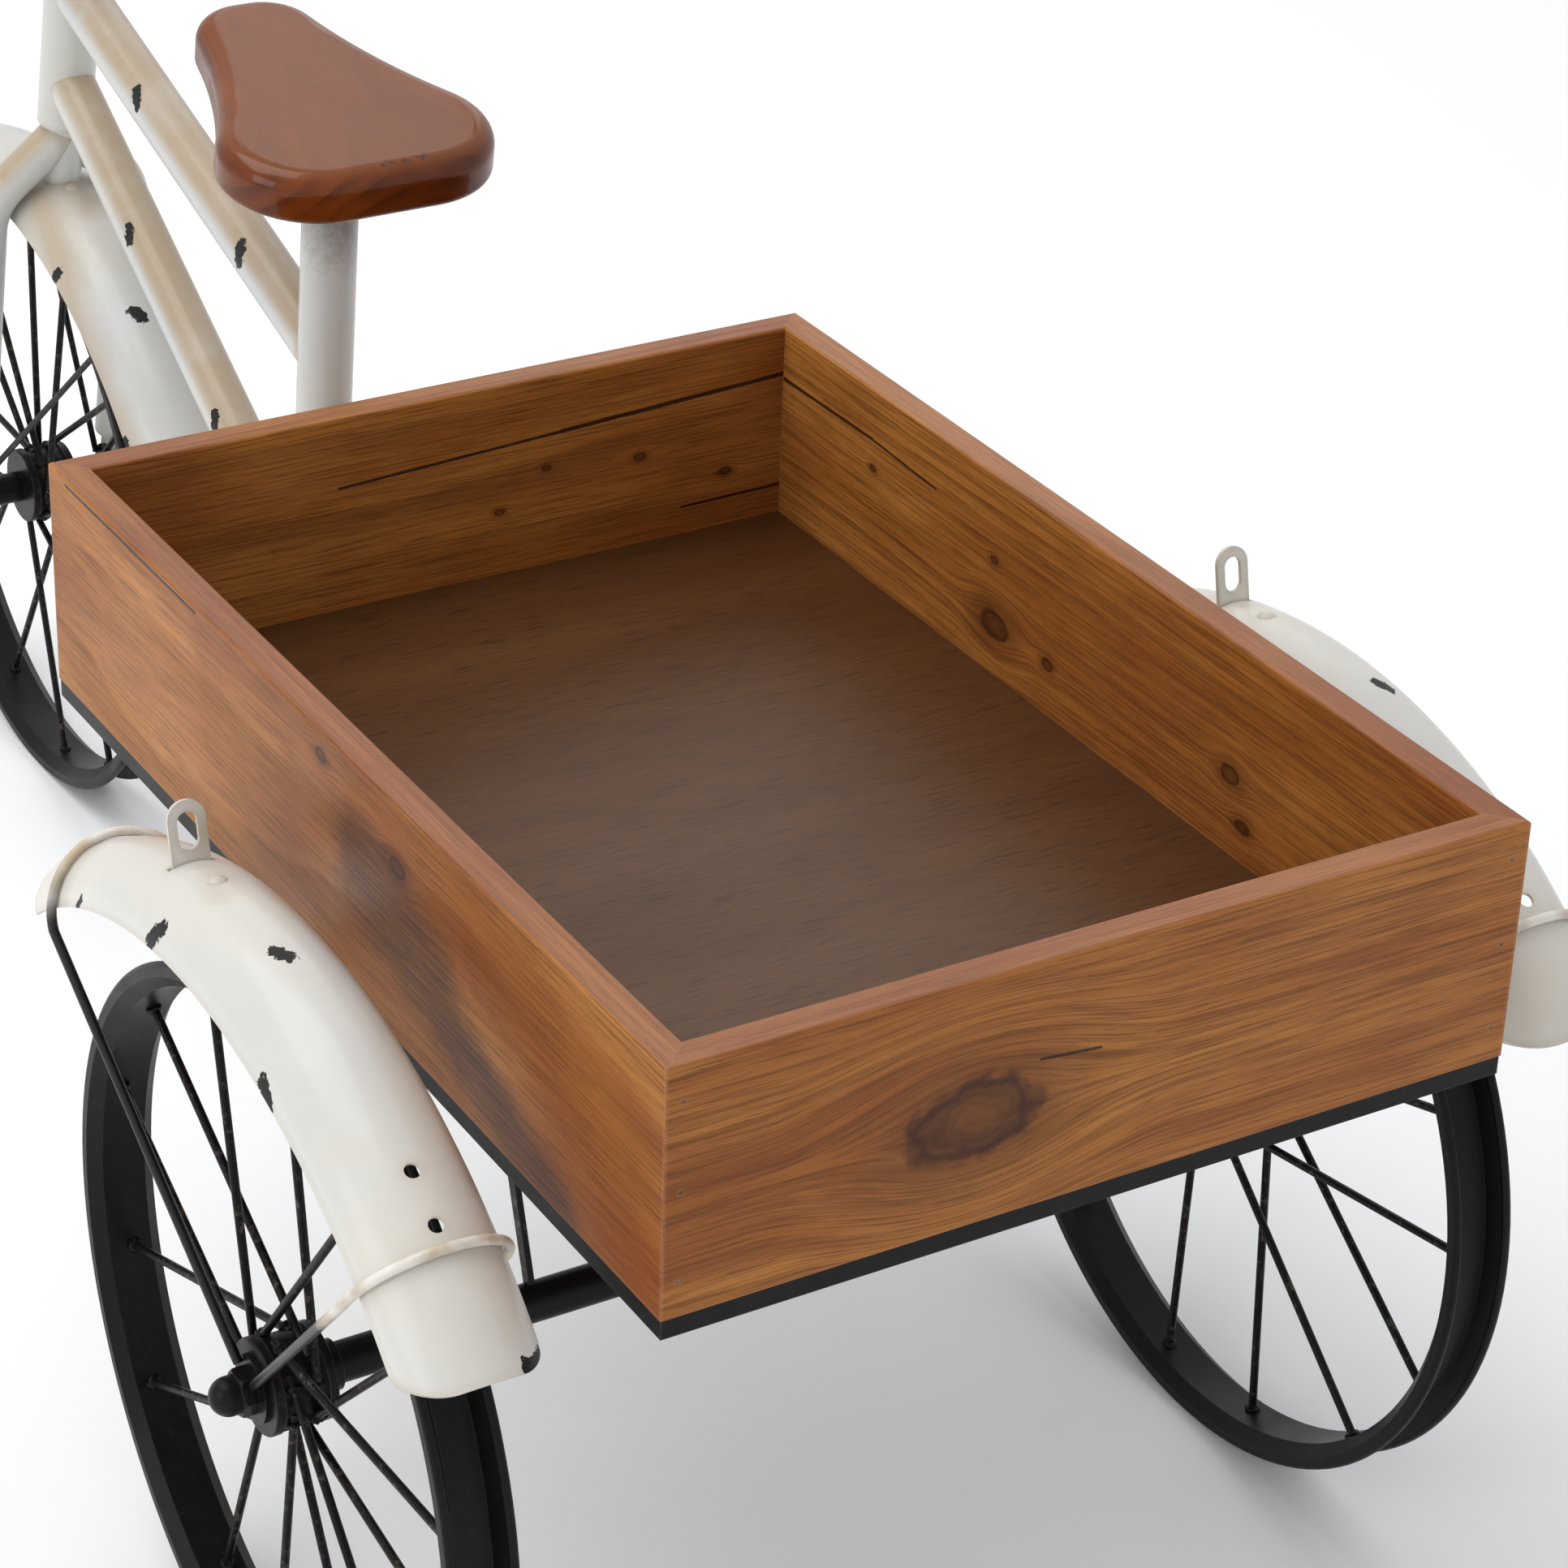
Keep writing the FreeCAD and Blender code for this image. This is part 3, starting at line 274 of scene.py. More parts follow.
# %% [markdown]
# A knot is where a branch grew: the grain flows round it, it is darker, and it has rings of its own.
# The group says how far the grain is pulled across the board, towards the knot's middle. The board
# adds that shift to its own coordinate, so that the ring lines part around the knot. Knots are
# strung together in the same way as the spots.

# %% Group: a knot
knot_group, inlet, outlet = new_group(
    "Knot", [("Position", "Vector", None), ("Centre", "Vector", None), ("Size", "Float", 0.01),
             ("Shift", "Float", 0.0), ("Mask", "Float", 0.0), ("Halo", "Float", 0.0)],
    [("Shift", "Float"), ("Mask", "Float"), ("Halo", "Float")])
t = knot_group
offset = vec(t, "SUBTRACT", inlet["Position"], inlet["Centre"])
reach = vec(t, "LENGTH", vec(t, "MULTIPLY", offset, (0.62, 1.0, 0.35)))
reach = calc(t, "DIVIDE", reach, inlet["Size"])
uneven = calc(t, "MULTIPLY", calc(t, "SUBTRACT", clouds(t, inlet["Position"], 90.0, 3.0), 0.5), 0.7)
rough_reach = calc(t, "ADD", reach, uneven)
pull = step(t, reach, 0.4, 3.6, 0.94, 0.0)
across = vec(t, "DOT_PRODUCT", offset, (0.0, 1.0, 0.0))
t.links.new(calc(t, "SUBTRACT", inlet["Shift"], calc(t, "MULTIPLY", across, pull)), outlet["Shift"])
own_rings = calc(t, "SINE", calc(t, "MULTIPLY", rough_reach, 26.0))
heart = step(t, rough_reach, 0.1, 0.85, 0.45, 0.75)
outline = calc(t, "MULTIPLY", step(t, rough_reach, 0.7, 0.95), 0.3)
core = calc(t, "ADD", heart, calc(t, "ADD", outline, calc(t, "MULTIPLY", own_rings, 0.07)))
core = calc(t, "MULTIPLY", core, step(t, rough_reach, 0.8, 1.15, 1.0, 0.0))
t.links.new(calc(t, "MAXIMUM", core, inlet["Mask"]), outlet["Mask"])
t.links.new(calc(t, "MAXIMUM", step(t, rough_reach, 0.8, 2.6, 1.0, 0.0), inlet["Halo"]), outlet["Halo"])
print("knot group nodes", len(knot_group.nodes))

# %% [markdown]
# Pine grain is a solid pattern: rings about the log's heart, which the board cuts at a slant. Where
# the rings wander, the wide faces show long arches. Fine fibres, short dark pores and slow blotches
# of stain lie over them. Position holds the place along the grain, across it and into the board.

# %% Group: pine grain
grain_group, inlet, outlet = new_group(
    "Pine grain", [("Position", "Vector", None), ("Heart", "Vector", None), ("Spacing", "Float", 0.0085),
                   ("Wander", "Float", 0.02), ("Seed", "Float", 0.0)],
    [("Rings", "Float"), ("Fibres", "Float"), ("Pores", "Float"), ("Stain", "Float")])
t = grain_group
place = vec(t, "ADD", inlet["Position"], add(t, "ShaderNodeCombineXYZ", {"X": inlet["Seed"]}).outputs[0])
slow = add(t, "ShaderNodeTexNoise", {"Vector": vec(t, "MULTIPLY", place, (2.2, 9.0, 9.0)), "Scale": 1.0,
                                     "Detail": 2.0}).outputs["Color"]
MID_COLOUR = (0.5, 0.5, 0.5)
FINE_WAVE = 0.0022
wander = scaled(t, vec(t, "SUBTRACT", slow, MID_COLOUR), inlet["Wander"])
wave = add(t, "ShaderNodeTexNoise", {"Vector": vec(t, "MULTIPLY", place, (14.0, 60.0, 60.0)), "Scale": 1.0,
                                     "Detail": 3.0}).outputs["Color"]
wave = scaled(t, vec(t, "SUBTRACT", wave, MID_COLOUR), FINE_WAVE)
cut = vec(t, "SUBTRACT", vec(t, "ADD", vec(t, "ADD", inlet["Position"], wander), wave), inlet["Heart"])
radius = vec(t, "LENGTH", vec(t, "MULTIPLY", cut, (0.0, 1.0, 1.0)))
count = calc(t, "FRACT", calc(t, "DIVIDE", radius, inlet["Spacing"]))
late = calc(t, "MULTIPLY", step(t, count, 0.25, 0.9), step(t, count, 0.93, 1.0, 1.0, 0.0))
strength = clouds(t, vec(t, "MULTIPLY", place, (3.0, 40.0, 40.0)), 1.0, 2.0)
t.links.new(calc(t, "MULTIPLY", late, step(t, strength, 0.25, 0.7)), outlet["Rings"])
t.links.new(clouds(t, vec(t, "MULTIPLY", place, (20.0, 950.0, 950.0)), 1.0, 4.0, 0.65), outlet["Fibres"])
pores = clouds(t, vec(t, "MULTIPLY", place, (70.0, 1500.0, 1500.0)), 1.0, 2.0, 0.6)
t.links.new(step(t, pores, 0.62, 0.72), outlet["Pores"])
t.links.new(clouds(t, vec(t, "MULTIPLY", place, (3.0, 16.0, 16.0)), 1.0, 4.0, 0.6), outlet["Stain"])
print("grain group nodes", len(grain_group.nodes))

# %% [markdown]
# A material starts with the same few things each time: a Principled shader, the object's own
# coordinates (which are the frame's metres, and move with the piece), and a bump at the end.

# %% Material helpers
def new_material(name, **shader):
    """A material with its tree, its shader and the position on the piece."""
    material = bpy.data.materials.new(name)
    material.use_nodes = True
    tree = material.node_tree
    principled = tree.nodes["Principled BSDF"]
    for label, value in shader.items():
        principled.inputs[label.replace("_", " ")].default_value = value
    position = tree.nodes.new("ShaderNodeTexCoord").outputs["Object"]
    return material, tree, principled, position


def connect(tree, socket, principled, label):
    """Drive an input of the shader."""
    tree.links.new(socket, principled.inputs[label])


def facing_up(tree):
    """How far the surface faces up, from -1 to 1."""
    normal = add(tree, "ShaderNodeNewGeometry").outputs["Normal"]
    return add(tree, "ShaderNodeSeparateXYZ", {0: normal}).outputs["Z"]


def bump(tree, principled, height, depth, strength=1.0):
    """Raise the surface by height times depth, in metres."""
    made = add(tree, "ShaderNodeBump", {"Height": height, "Distance": depth, "Strength": strength})
    tree.links.new(made.outputs[0], principled.inputs["Normal"])


def wear(material, *names):
    """Put a material on CAD nodes."""
    for name in names:
        data = nodes[name].data
        data.materials.clear()
        data.materials.append(material)


print("nodes to dress", len(nodes))

# %% [markdown]
# The planter's boards are pine under a warm brown stain and a thin satin varnish. Left and right
# boards have their grain along X and the end boards along Y, so one recipe takes the order of the
# axes, with the knots and cracks. Edges are rubbed pale, and what faces up is painted lighter and
# greyer, a painted sheen.

# %% Board wood recipe
STAIN_LIGHT, STAIN_MID, STAIN_DARK = ink(184, 122, 56), ink(144, 82, 30), ink(84, 42, 14)
STAIN_RED, KNOT_BROWN, CRACK_BROWN = ink(132, 66, 32), ink(50, 22, 10), ink(26, 14, 9)


def board_wood(name, order, heart, knots, cracks, painted_shadows, seed):
    """Stained pine. order says which of X, Y and Z lie along the grain, across it and into it."""
    material, tree, principled, position = new_material(name, Coat_Weight=0.12, Coat_Roughness=0.24,
                                                        Specular_IOR_Level=0.16)
    split = add(tree, "ShaderNodeSeparateXYZ", {0: position}).outputs
    board = add(tree, "ShaderNodeCombineXYZ", {k: split[axis] for k, axis in enumerate(order)}).outputs[0]

    def to_board(point):
        return tuple(point["XYZ".index(axis)] for axis in order)

    shift, mask, halo = 0.0, 0.0, 0.0
    for centre, size in knots:
        made = use(tree, knot_group, {"Position": board, "Centre": to_board(centre), "Size": size,
                                      "Shift": shift, "Mask": mask, "Halo": halo})
        shift, mask, halo = made["Shift"], made["Mask"], made["Halo"]
    bend = add(tree, "ShaderNodeCombineXYZ", {"Y": shift}).outputs[0]
    grain = use(tree, grain_group, {"Position": vec(tree, "ADD", board, bend), "Heart": heart,
                                    "Seed": seed})
    crack = spots(tree, position, cracks, Ragged=0.22, Fine=160.0, Soft=0.7)
    # These soft clouds are painted shadow from the near fender, broken up along the fibres.
    painted_shadow = spots(tree, position, painted_shadows, Ragged=0.25, Fine=45.0, Soft=0.9)
    painted_shadow = calc(tree, "MULTIPLY", painted_shadow, step(tree, grain["Fibres"], 0.25, 0.62, 0.35, 1.0))
    colour = blend(tree, step(tree, grain["Stain"], 0.3, 0.72), STAIN_MID, STAIN_LIGHT)
    blotch = clouds(tree, board, 5.5, 3.0)
    colour = blend(tree, step(tree, blotch, 0.45, 0.75, 0.0, 0.6), colour, STAIN_RED)
    colour = blend(tree, calc(tree, "MULTIPLY", grain["Rings"], 0.42), colour, STAIN_DARK)
    colour = blend(tree, step(tree, grain["Fibres"], 0.42, 0.66, 0.0, 0.62), colour, STAIN_DARK)
    colour = blend(tree, calc(tree, "MULTIPLY", grain["Pores"], 0.45), colour, KNOT_BROWN)
    colour = blend(tree, calc(tree, "MULTIPLY", halo, 0.5), colour, STAIN_DARK)
    # Painted shadow: the clouds darken the stain towards a dark grey-brown.
    colour = blend(tree, calc(tree, "MULTIPLY", painted_shadow, 0.75), colour, ink(50, 34, 28))
    colour = blend(tree, calc(tree, "MULTIPLY", mask, 0.92), colour, KNOT_BROWN)
    colour = blend(tree, calc(tree, "MULTIPLY", crack, 0.9), colour, CRACK_BROWN)
    edges = use(tree, wear_group, {"Position": position, "Width": 0.0022, "Broken": 0.6})["Mask"]
    colour = blend(tree, calc(tree, "MULTIPLY", edges, 0.35), colour, ink(176, 122, 92))
    # Painted sheen: faces that look up are painted lighter and greyer.
    painted_upward_sheen = step(tree, facing_up(tree), 0.6, 0.95, 0.0, 0.45)
    colour = blend(tree, painted_upward_sheen, colour, ink(140, 96, 78))
    connect(tree, colour, principled, "Base Color")
    finish = use(tree, finish_group, {"Position": position, "Slow": 14.0, "Base": 0.46, "Spread": 0.3})
    rough = calc(tree, "ADD", finish["Roughness"], calc(tree, "MULTIPLY", grain["Rings"], 0.1))
    connect(tree, rough, principled, "Roughness")
    dents = calc(tree, "SUBTRACT", calc(tree, "MULTIPLY", grain["Fibres"], 0.5),
                 calc(tree, "ADD", calc(tree, "MULTIPLY", crack, 1.6), calc(tree, "MULTIPLY", mask, 0.35)))
    bump(tree, principled, dents, 0.0004, 0.8)
    return material


print("stain, light to dark", [round(tone[0], 3) for tone in (STAIN_LIGHT, STAIN_MID, STAIN_DARK)])

# %% [markdown]
# Each mark is placed on a board's visible face where the photograph shows it: along the board, and
# down from its top edge. The side boards hold eight small knots and three drying cracks, and two dark
# clouds of painted shadow lie on the left board by the near wheel. The rear board holds the one large knot.

# %% Board marks
BOARD_THICKNESS = 0.015
RIGHT_FACE, LEFT_FACE = tray_high.y - BOARD_THICKNESS, tray_low.y
REAR_FACE, FRONT_FACE = tray_high.x, tray_low.x + BOARD_THICKNESS
TOP = tray_high.z


def on_right(x, z):
    """A place on the right board's inner face: distance from the front, depth under the top."""
    return tray_low.x + x, RIGHT_FACE, TOP - z


def on_left(x, z):
    """The same on the left board's outer face."""
    return tray_low.x + x, LEFT_FACE, TOP - z


def on_front(y, z):
    """A place on the front board's inner face: distance from the middle, depth under the top."""
    return FRONT_FACE, y, TOP - z


def on_rear(y, z):
    """The same on the rear board's outer face."""
    return REAR_FACE, y, TOP - z


side_knots = [(on_right(0.2108, 0.0427), 0.0022), (on_right(0.214, 0.0753), 0.0075),
              (on_right(0.2592, 0.0759), 0.003), (on_right(0.4029, 0.0633), 0.0045),
              (on_right(0.415, 0.0838), 0.0032), (on_right(0.1015, 0.041), 0.002),
              (on_left(0.2908, 0.0118), 0.003), (on_left(0.3622, 0.0291), 0.0045)]
side_cracks = [(on_right(0.016, 0.0277), on_right(0.100, 0.0262), 0.0009),
               (on_right(0.095, 0.0262), on_right(0.158, 0.0285), 0.0006),
               (on_left(0.02, 0.0035), on_left(0.165, 0.0032), 0.0007)]
# The two clouds on the left board are painted shadow, placed where the near fender shades it.
side_painted_shadows = [(on_left(0.325, 0.046), on_left(0.395, 0.066), 0.022),
                (on_left(0.40, 0.078), on_left(0.50, 0.112), 0.016)]
wood_along = board_wood("stained_pine_along", "XZY", (0.0, 0.33, 0.16), side_knots, side_cracks,
                        side_painted_shadows, 0.37)
end_knots = [(on_rear(-0.0635, 0.0634), 0.0185),
             (on_front(0.0513, 0.0492), 0.0018), (on_front(0.1034, 0.0539), 0.0022),
             (on_front(0.1526, 0.0717), 0.0022), (on_front(0.0255, 0.0678), 0.0018)]
end_cracks = [(on_front(-0.06, 0.037), on_front(0.0632, 0.0312), 0.0007),
              (on_front(0.06, 0.0312), on_front(0.1847, 0.0252), 0.0011),
              (on_front(0.128, 0.0867), on_front(0.1847, 0.0856), 0.0007),
              (on_rear(-0.034, 0.0445), on_rear(-0.006, 0.0472), 0.0006)]
wood_across = board_wood("stained_pine_across", "YZX", (0.0, 0.30, 0.55), end_knots, end_cracks,
                         [], 1.93)
wear(wood_along, "board_left", "board_right")
wear(wood_across, "board_front", "board_rear")
print("board marks", len(side_knots + end_knots), "knots", len(side_cracks + end_cracks), "cracks")

# %% [markdown]
# The floor panel is thin plywood: one even brown, with short dark flecks that run across the box,
# and a satin sheen. Its colour is painted darker towards the boards: painted shade by the walls,
# which leaves a painted soft sheen in the middle.

# %% Floor plywood
# Within these reaches of the middle the colour keeps its painted sheen; beyond them it takes painted shade.
SHEEN_REACH_X, SHEEN_REACH_Y = 0.28, 0.19
floor_ply, tree, principled, position = new_material("floor_plywood", Specular_IOR_Level=0.3)
stretched = vec(tree, "MULTIPLY", position, (900.0, 45.0, 900.0))
flecks = clouds(tree, stretched, 1.0, 3.0, 0.7)
bands = clouds(tree, vec(tree, "MULTIPLY", position, (26.0, 3.0, 26.0)), 1.0, 3.0)
colour = blend(tree, step(tree, bands, 0.3, 0.7), ink(78, 47, 20), ink(88, 56, 28))
colour = blend(tree, step(tree, flecks, 0.5, 0.66, 0.0, 0.6), colour, ink(40, 22, 10))
# Painted shade: the colour darkens from the middle towards the boards.
from_middle = vec(tree, "SUBTRACT", position, (tray_top.x, 0.0, TOP))
shares = vec(tree, "MULTIPLY", from_middle, (1 / SHEEN_REACH_X, 1 / SHEEN_REACH_Y, 0.0))
painted_rim_shade = step(tree, vec(tree, "LENGTH", shares), 0.55, 1.35, 0.0, 0.5)
connect(tree, blend(tree, painted_rim_shade, colour, ink(64, 33, 10)), principled, "Base Color")
finish = use(tree, finish_group, {"Position": position, "Slow": 9.0, "Base": 0.42, "Spread": 0.12})
connect(tree, finish["Roughness"], principled, "Roughness")
bump(tree, principled, flecks, 0.00012, 0.6)
wear(floor_ply, "floor_panel")
print("darker from", SHEEN_REACH_X, "and", SHEEN_REACH_Y, "metres off the middle")

# %% [markdown]
# The saddle is one block of the same pine, carved round, stained redder and varnished to a gloss.
# Its grain runs front to back, so the rear edge shows end grain: dark arcs about the log's heart.
# A few small dents along the rear edge and one at the side are filled with stain.

# %% Saddle wood
saddle_low, saddle_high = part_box("saddle")
SADDLE_BACK = saddle_high.x
saddle_mid = (saddle_low + saddle_high) / 2
saddle_wood, tree, principled, position = new_material(
    "varnished_saddle_wood", Coat_Weight=0.4, Coat_Roughness=0.1, Specular_IOR_Level=0.1)
centred = vec(tree, "SUBTRACT", position, tuple(saddle_mid))
grain = use(tree, grain_group, {"Position": centred, "Heart": (0.0, 0.02, -0.085), "Spacing": 0.0105,
                                "Wander": 0.012, "Seed": 4.2})
facing = facing_up(tree)
# Painted sheen: the saddle's top is painted lighter, where the varnish catches the light.
painted_top_sheen = step(tree, facing, 0.45, 0.95)
colour = blend(tree, step(tree, grain["Stain"], 0.3, 0.7), ink(86, 34, 6), ink(118, 56, 14))
colour = blend(tree, calc(tree, "MULTIPLY", painted_top_sheen, 0.5), colour, ink(122, 68, 24))
arches = calc(tree, "MULTIPLY", grain["Rings"], step(tree, facing, 0.3, 0.9, 0.6, 0.1))
colour = blend(tree, arches, colour, ink(54, 20, 8))
colour = blend(tree, step(tree, grain["Fibres"], 0.5, 0.75, 0.0, 0.35), colour, ink(76, 36, 18))
rear_dents = marks_mm((-6, -28, -4, -8, 18, -2, 1.7), (-16, -30, 6, -12, -8, 4, 1.4),
                      (-20, 12, 7, -14, 30, 5, 1.2), origin=(SADDLE_BACK, 0, saddle_mid.z))
side_dent = marks_mm((-50, -34, 6, -30, -36, 4, 1.6), origin=(saddle_mid.x, 0, saddle_mid.z))
dents = spots(tree, position, rear_dents + side_dent, Ragged=0.8, Fine=330.0, Soft=0.6)
colour = blend(tree, calc(tree, "MULTIPLY", dents, 0.75), colour, ink(40, 18, 10))
connect(tree, colour, principled, "Base Color")
finish = use(tree, finish_group, {"Position": position, "Slow": 22.0, "Base": 0.34, "Spread": 0.2})
connect(tree, finish["Roughness"], principled, "Roughness")
hollows = calc(tree, "SUBTRACT", calc(tree, "MULTIPLY", finish["Slow"], 0.6), dents)
bump(tree, principled, hollows, 0.0007, 0.7)
wear(saddle_wood, "saddle")
print("saddle from", [round(v, 3) for v in saddle_low], "to", [round(v, 3) for v in saddle_high])

# %% [markdown]
# The handlebar's grips are turned from the same stained pine and oiled, so they are duller than the
# saddle. They lie outside the photograph, and so their look follows the planter's.

# %% Grip wood
grip_wood, tree, principled, position = new_material("oiled_grip_wood", Coat_Weight=0.3,
                                                     Coat_Roughness=0.2, Specular_IOR_Level=0.2)
grain = use(tree, grain_group, {"Position": position, "Heart": (0.0, 0.05, 0.7), "Spacing": 0.005,
                                "Seed": 7.7})
colour = blend(tree, step(tree, grain["Stain"], 0.3, 0.7), STAIN_RED, STAIN_MID)
colour = blend(tree, calc(tree, "MULTIPLY", grain["Rings"], 0.6), colour, STAIN_DARK)
colour = blend(tree, step(tree, grain["Fibres"], 0.45, 0.7, 0.0, 0.4), colour, STAIN_DARK)
connect(tree, colour, principled, "Base Color")
finish = use(tree, finish_group, {"Position": position, "Base": 0.42})
connect(tree, finish["Roughness"], principled, "Roughness")
bump(tree, principled, grain["Fibres"], 0.0002, 0.6)
wear(grip_wood, "grip_left", "grip_right")
print("grip middle", [round(v, 3) for v in middle("grip_left")])

# %% [markdown]
# The white parts were sprayed with cream enamel over black primer, then shaded with a little brown
# along edges and on upper sides to look old. Chips show the black under the paint. One recipe makes
# the tubes and each fender.

# %% White enamel recipe
CREAM, COOL_WHITE, OLD_BROWN, PRIMER = (ink(218, 216, 208), ink(204, 209, 214), ink(170, 150, 124),
                                        ink(16, 15, 16))


def enamel(name, chips, shading, patches=(), tone=1.0, soot=()):
    """Cream enamel. shading is how much brown lies on upper sides, patches are brown clouds and
    soot is dark ones. tone darkens the whole coat."""
    material, tree, principled, position = new_material(name, Coat_Weight=0.25, Coat_Roughness=0.16,
                                                        Specular_IOR_Level=0.25)
    slow = clouds(tree, position, 7.0, 3.0)
    colour = blend(tree, step(tree, slow, 0.35, 0.7, 0.0, 0.75), CREAM, COOL_WHITE)
    colour = blend(tree, 1.0, colour, (tone, tone, tone, 1.0), "MULTIPLY")
    upper = step(tree, facing_up(tree), 0.05, 0.6)
    streak = clouds(tree, position, 26.0, 4.0, 0.65)
    brown = calc(tree, "MULTIPLY", calc(tree, "MULTIPLY", upper, step(tree, streak, 0.1, 0.6, 0.55, 1.0)),
                 shading)
    edges = use(tree, wear_group, {"Position": position, "Width": 0.006, "Broken": 0.3, "Fine": 60.0})
    brown = calc(tree, "MAXIMUM", brown, calc(tree, "MULTIPLY", edges["Mask"], 0.55))
    cloud = spots(tree, position, patches, Ragged=0.25, Fine=30.0, Soft=1.5)
    brown = calc(tree, "MAXIMUM", brown, calc(tree, "MULTIPLY", cloud, 0.75))
    colour = blend(tree, brown, colour, OLD_BROWN)
    smoke = spots(tree, position, soot, Ragged=0.3, Fine=300.0, Soft=1.6)
    colour = blend(tree, calc(tree, "MULTIPLY", smoke, 0.7), colour, ink(70, 62, 60))
    chipped = spots(tree, position, chips, Ragged=0.5, Fine=330.0, Soft=0.12)
    thin = use(tree, wear_group, {"Position": position, "Width": 0.0006, "Broken": 1.6, "Fine": 140.0})
    bare = calc(tree, "MAXIMUM", chipped, calc(tree, "MULTIPLY", thin["Mask"], 0.25))
    connect(tree, blend(tree, bare, colour, PRIMER), principled, "Base Color")
    finish = use(tree, finish_group, {"Position": position, "Slow": 30.0, "Fine": 260.0, "Base": 0.36,
                                      "Spread": 0.2})
    connect(tree, calc(tree, "ADD", finish["Roughness"], calc(tree, "MULTIPLY", chipped, 0.2)), principled,
            "Roughness")
    height = calc(tree, "SUBTRACT", calc(tree, "MULTIPLY", finish["Height"], 0.25), chipped)
    bump(tree, principled, height, 0.00025, 0.9)
    return material


print("cream as light", [round(v, 3) for v in CREAM[:3]])

# %% [markdown]
# Each row is one chip or brown cloud: where its line starts and ends, and its half width, in
# millimetres in the frame. They lie where the photograph shows them. The seat tube also has a dark
# breath of primer under the saddle, which is placed from the tube's own top.

# %% Chips, clouds and white parts
tube_chips = marks_mm((-269, -11, 500, -263, -12, 492, 3.2), (-138, -12, 460, -134, -12.5, 451, 3.8),
                      (-288, -10.5, 415, -284, -11, 407, 3.0), (-177, -12, 348, -173, -12.5, 339, 3.2))
seat_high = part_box("seat_tube")[1]
primer_breath = marks_mm((0, 0, 0, 0, 0, -20, 26), origin=(seat_high.x, 0, seat_high.z))
tube_enamel = enamel("white_enamel_tubes", tube_chips, 0.95, tone=0.82, soot=primer_breath)
wear(tube_enamel, "head_tube", "lower_shell", "seat_tube", "top_tube", "down_tube", "chain_stay_left",
     "chain_stay_right", "tray_brace_left", "tray_brace_right", "steerer", "handlebar", "head_collar",
     "fork_leg_left", "fork_leg_right")
left_chips = marks_mm((312, -291.5, 377, 313, -291, 381, 2.2), (388, -291, 402, 392, -288, 407, 4.2),
                      (450, -264, 423, 455, -261, 420, 3.6), (494, -292, 395, 503, -292, 388, 3.0),
                      (619, -236, 326, 628, -246, 330, 3.5))
left_clouds = marks_mm((400, -235, 420, 560, -233, 370, 12), (360, -250, 428, 400, -265, 432, 12))
wear(enamel("white_enamel_fender_left", left_chips, 0.28, left_clouds), "fender_left",
     "fender_tab_left")
right_chips = marks_mm((462, 269, 419.5, 467, 272, 417.5, 3.4), (560, 285, 372, 565, 283, 369, 3.0))
right_clouds = marks_mm((400, 288, 420, 560, 288, 370, 10))
wear(enamel("white_enamel_fender_right", right_chips, 0.28, right_clouds), "fender_right",
     "fender_tab_right")
front_chips = marks_mm((-350, -29.5, 365, -348, -29, 368, 3.2), (-296, -6, 361, -292, -3, 357, 3.6),
                       (-257, -30.5, 303, -253, -30.5, 299, 3.0))
front_clouds = marks_mm((-400, -20, 398, -345, -28, 368, 13), (-345, -28, 368, -255, -32, 300, 12),
                        (-345, 26, 376, -240, 32, 300, 10), (-395, 0, 402, -372, 4, 398, 12))
wear(enamel("white_enamel_fender_front", front_chips, 0.16, front_clouds, tone=0.84), "front_fender")
print("chips", len(tube_chips + left_chips + right_chips + front_chips))

# %% [markdown]
# The black parts have a satin lacquer. On the rims it is whole, with a few scuffs. The spokes were
# rubbed with a dry brush of brown-grey, so they look worn to the metal in short streaks.

# %% Black steel
BLACK, WORN, RUST = ink(14, 13, 13), ink(122, 112, 100), ink(74, 52, 38)


def lacquer(name, scuffs, streaks, roughness=0.42):
    """Black satin lacquer. scuffs wear the edges, streaks are dry-brushed along the surface."""
    material, tree, principled, position = new_material(name, Specular_IOR_Level=0.16)
    edges = use(tree, wear_group, {"Position": position, "Width": 0.0012, "Broken": 1.2})["Mask"]
    brushed = clouds(tree, position, 210.0, 5.0, 0.75)
    patch = clouds(tree, position, 38.0, 3.0)
    rubbed = calc(tree, "MULTIPLY", step(tree, brushed, 0.53, 0.66), step(tree, patch, 0.3, 0.62))
    bare = calc(tree, "MAXIMUM", calc(tree, "MULTIPLY", rubbed, streaks),
                calc(tree, "MULTIPLY", edges, scuffs))
    tint = blend(tree, step(tree, patch, 0.4, 0.7), WORN, RUST)
    shade = blend(tree, step(tree, clouds(tree, position, 12.0, 3.0), 0.3, 0.7), BLACK, ink(17, 16, 17))
    connect(tree, blend(tree, bare, shade, tint), principled, "Base Color")
    connect(tree, calc(tree, "MULTIPLY", bare, 0.5), principled, "Metallic")
    finish = use(tree, finish_group, {"Position": position, "Slow": 40.0, "Fine": 700.0, "Base": roughness,
                                      "Spread": 0.2})
    connect(tree, finish["Roughness"], principled, "Roughness")
    height = calc(tree, "SUBTRACT", calc(tree, "MULTIPLY", finish["Height"], 0.5), bare)
    bump(tree, principled, height, 0.00015, 0.7)
    return material


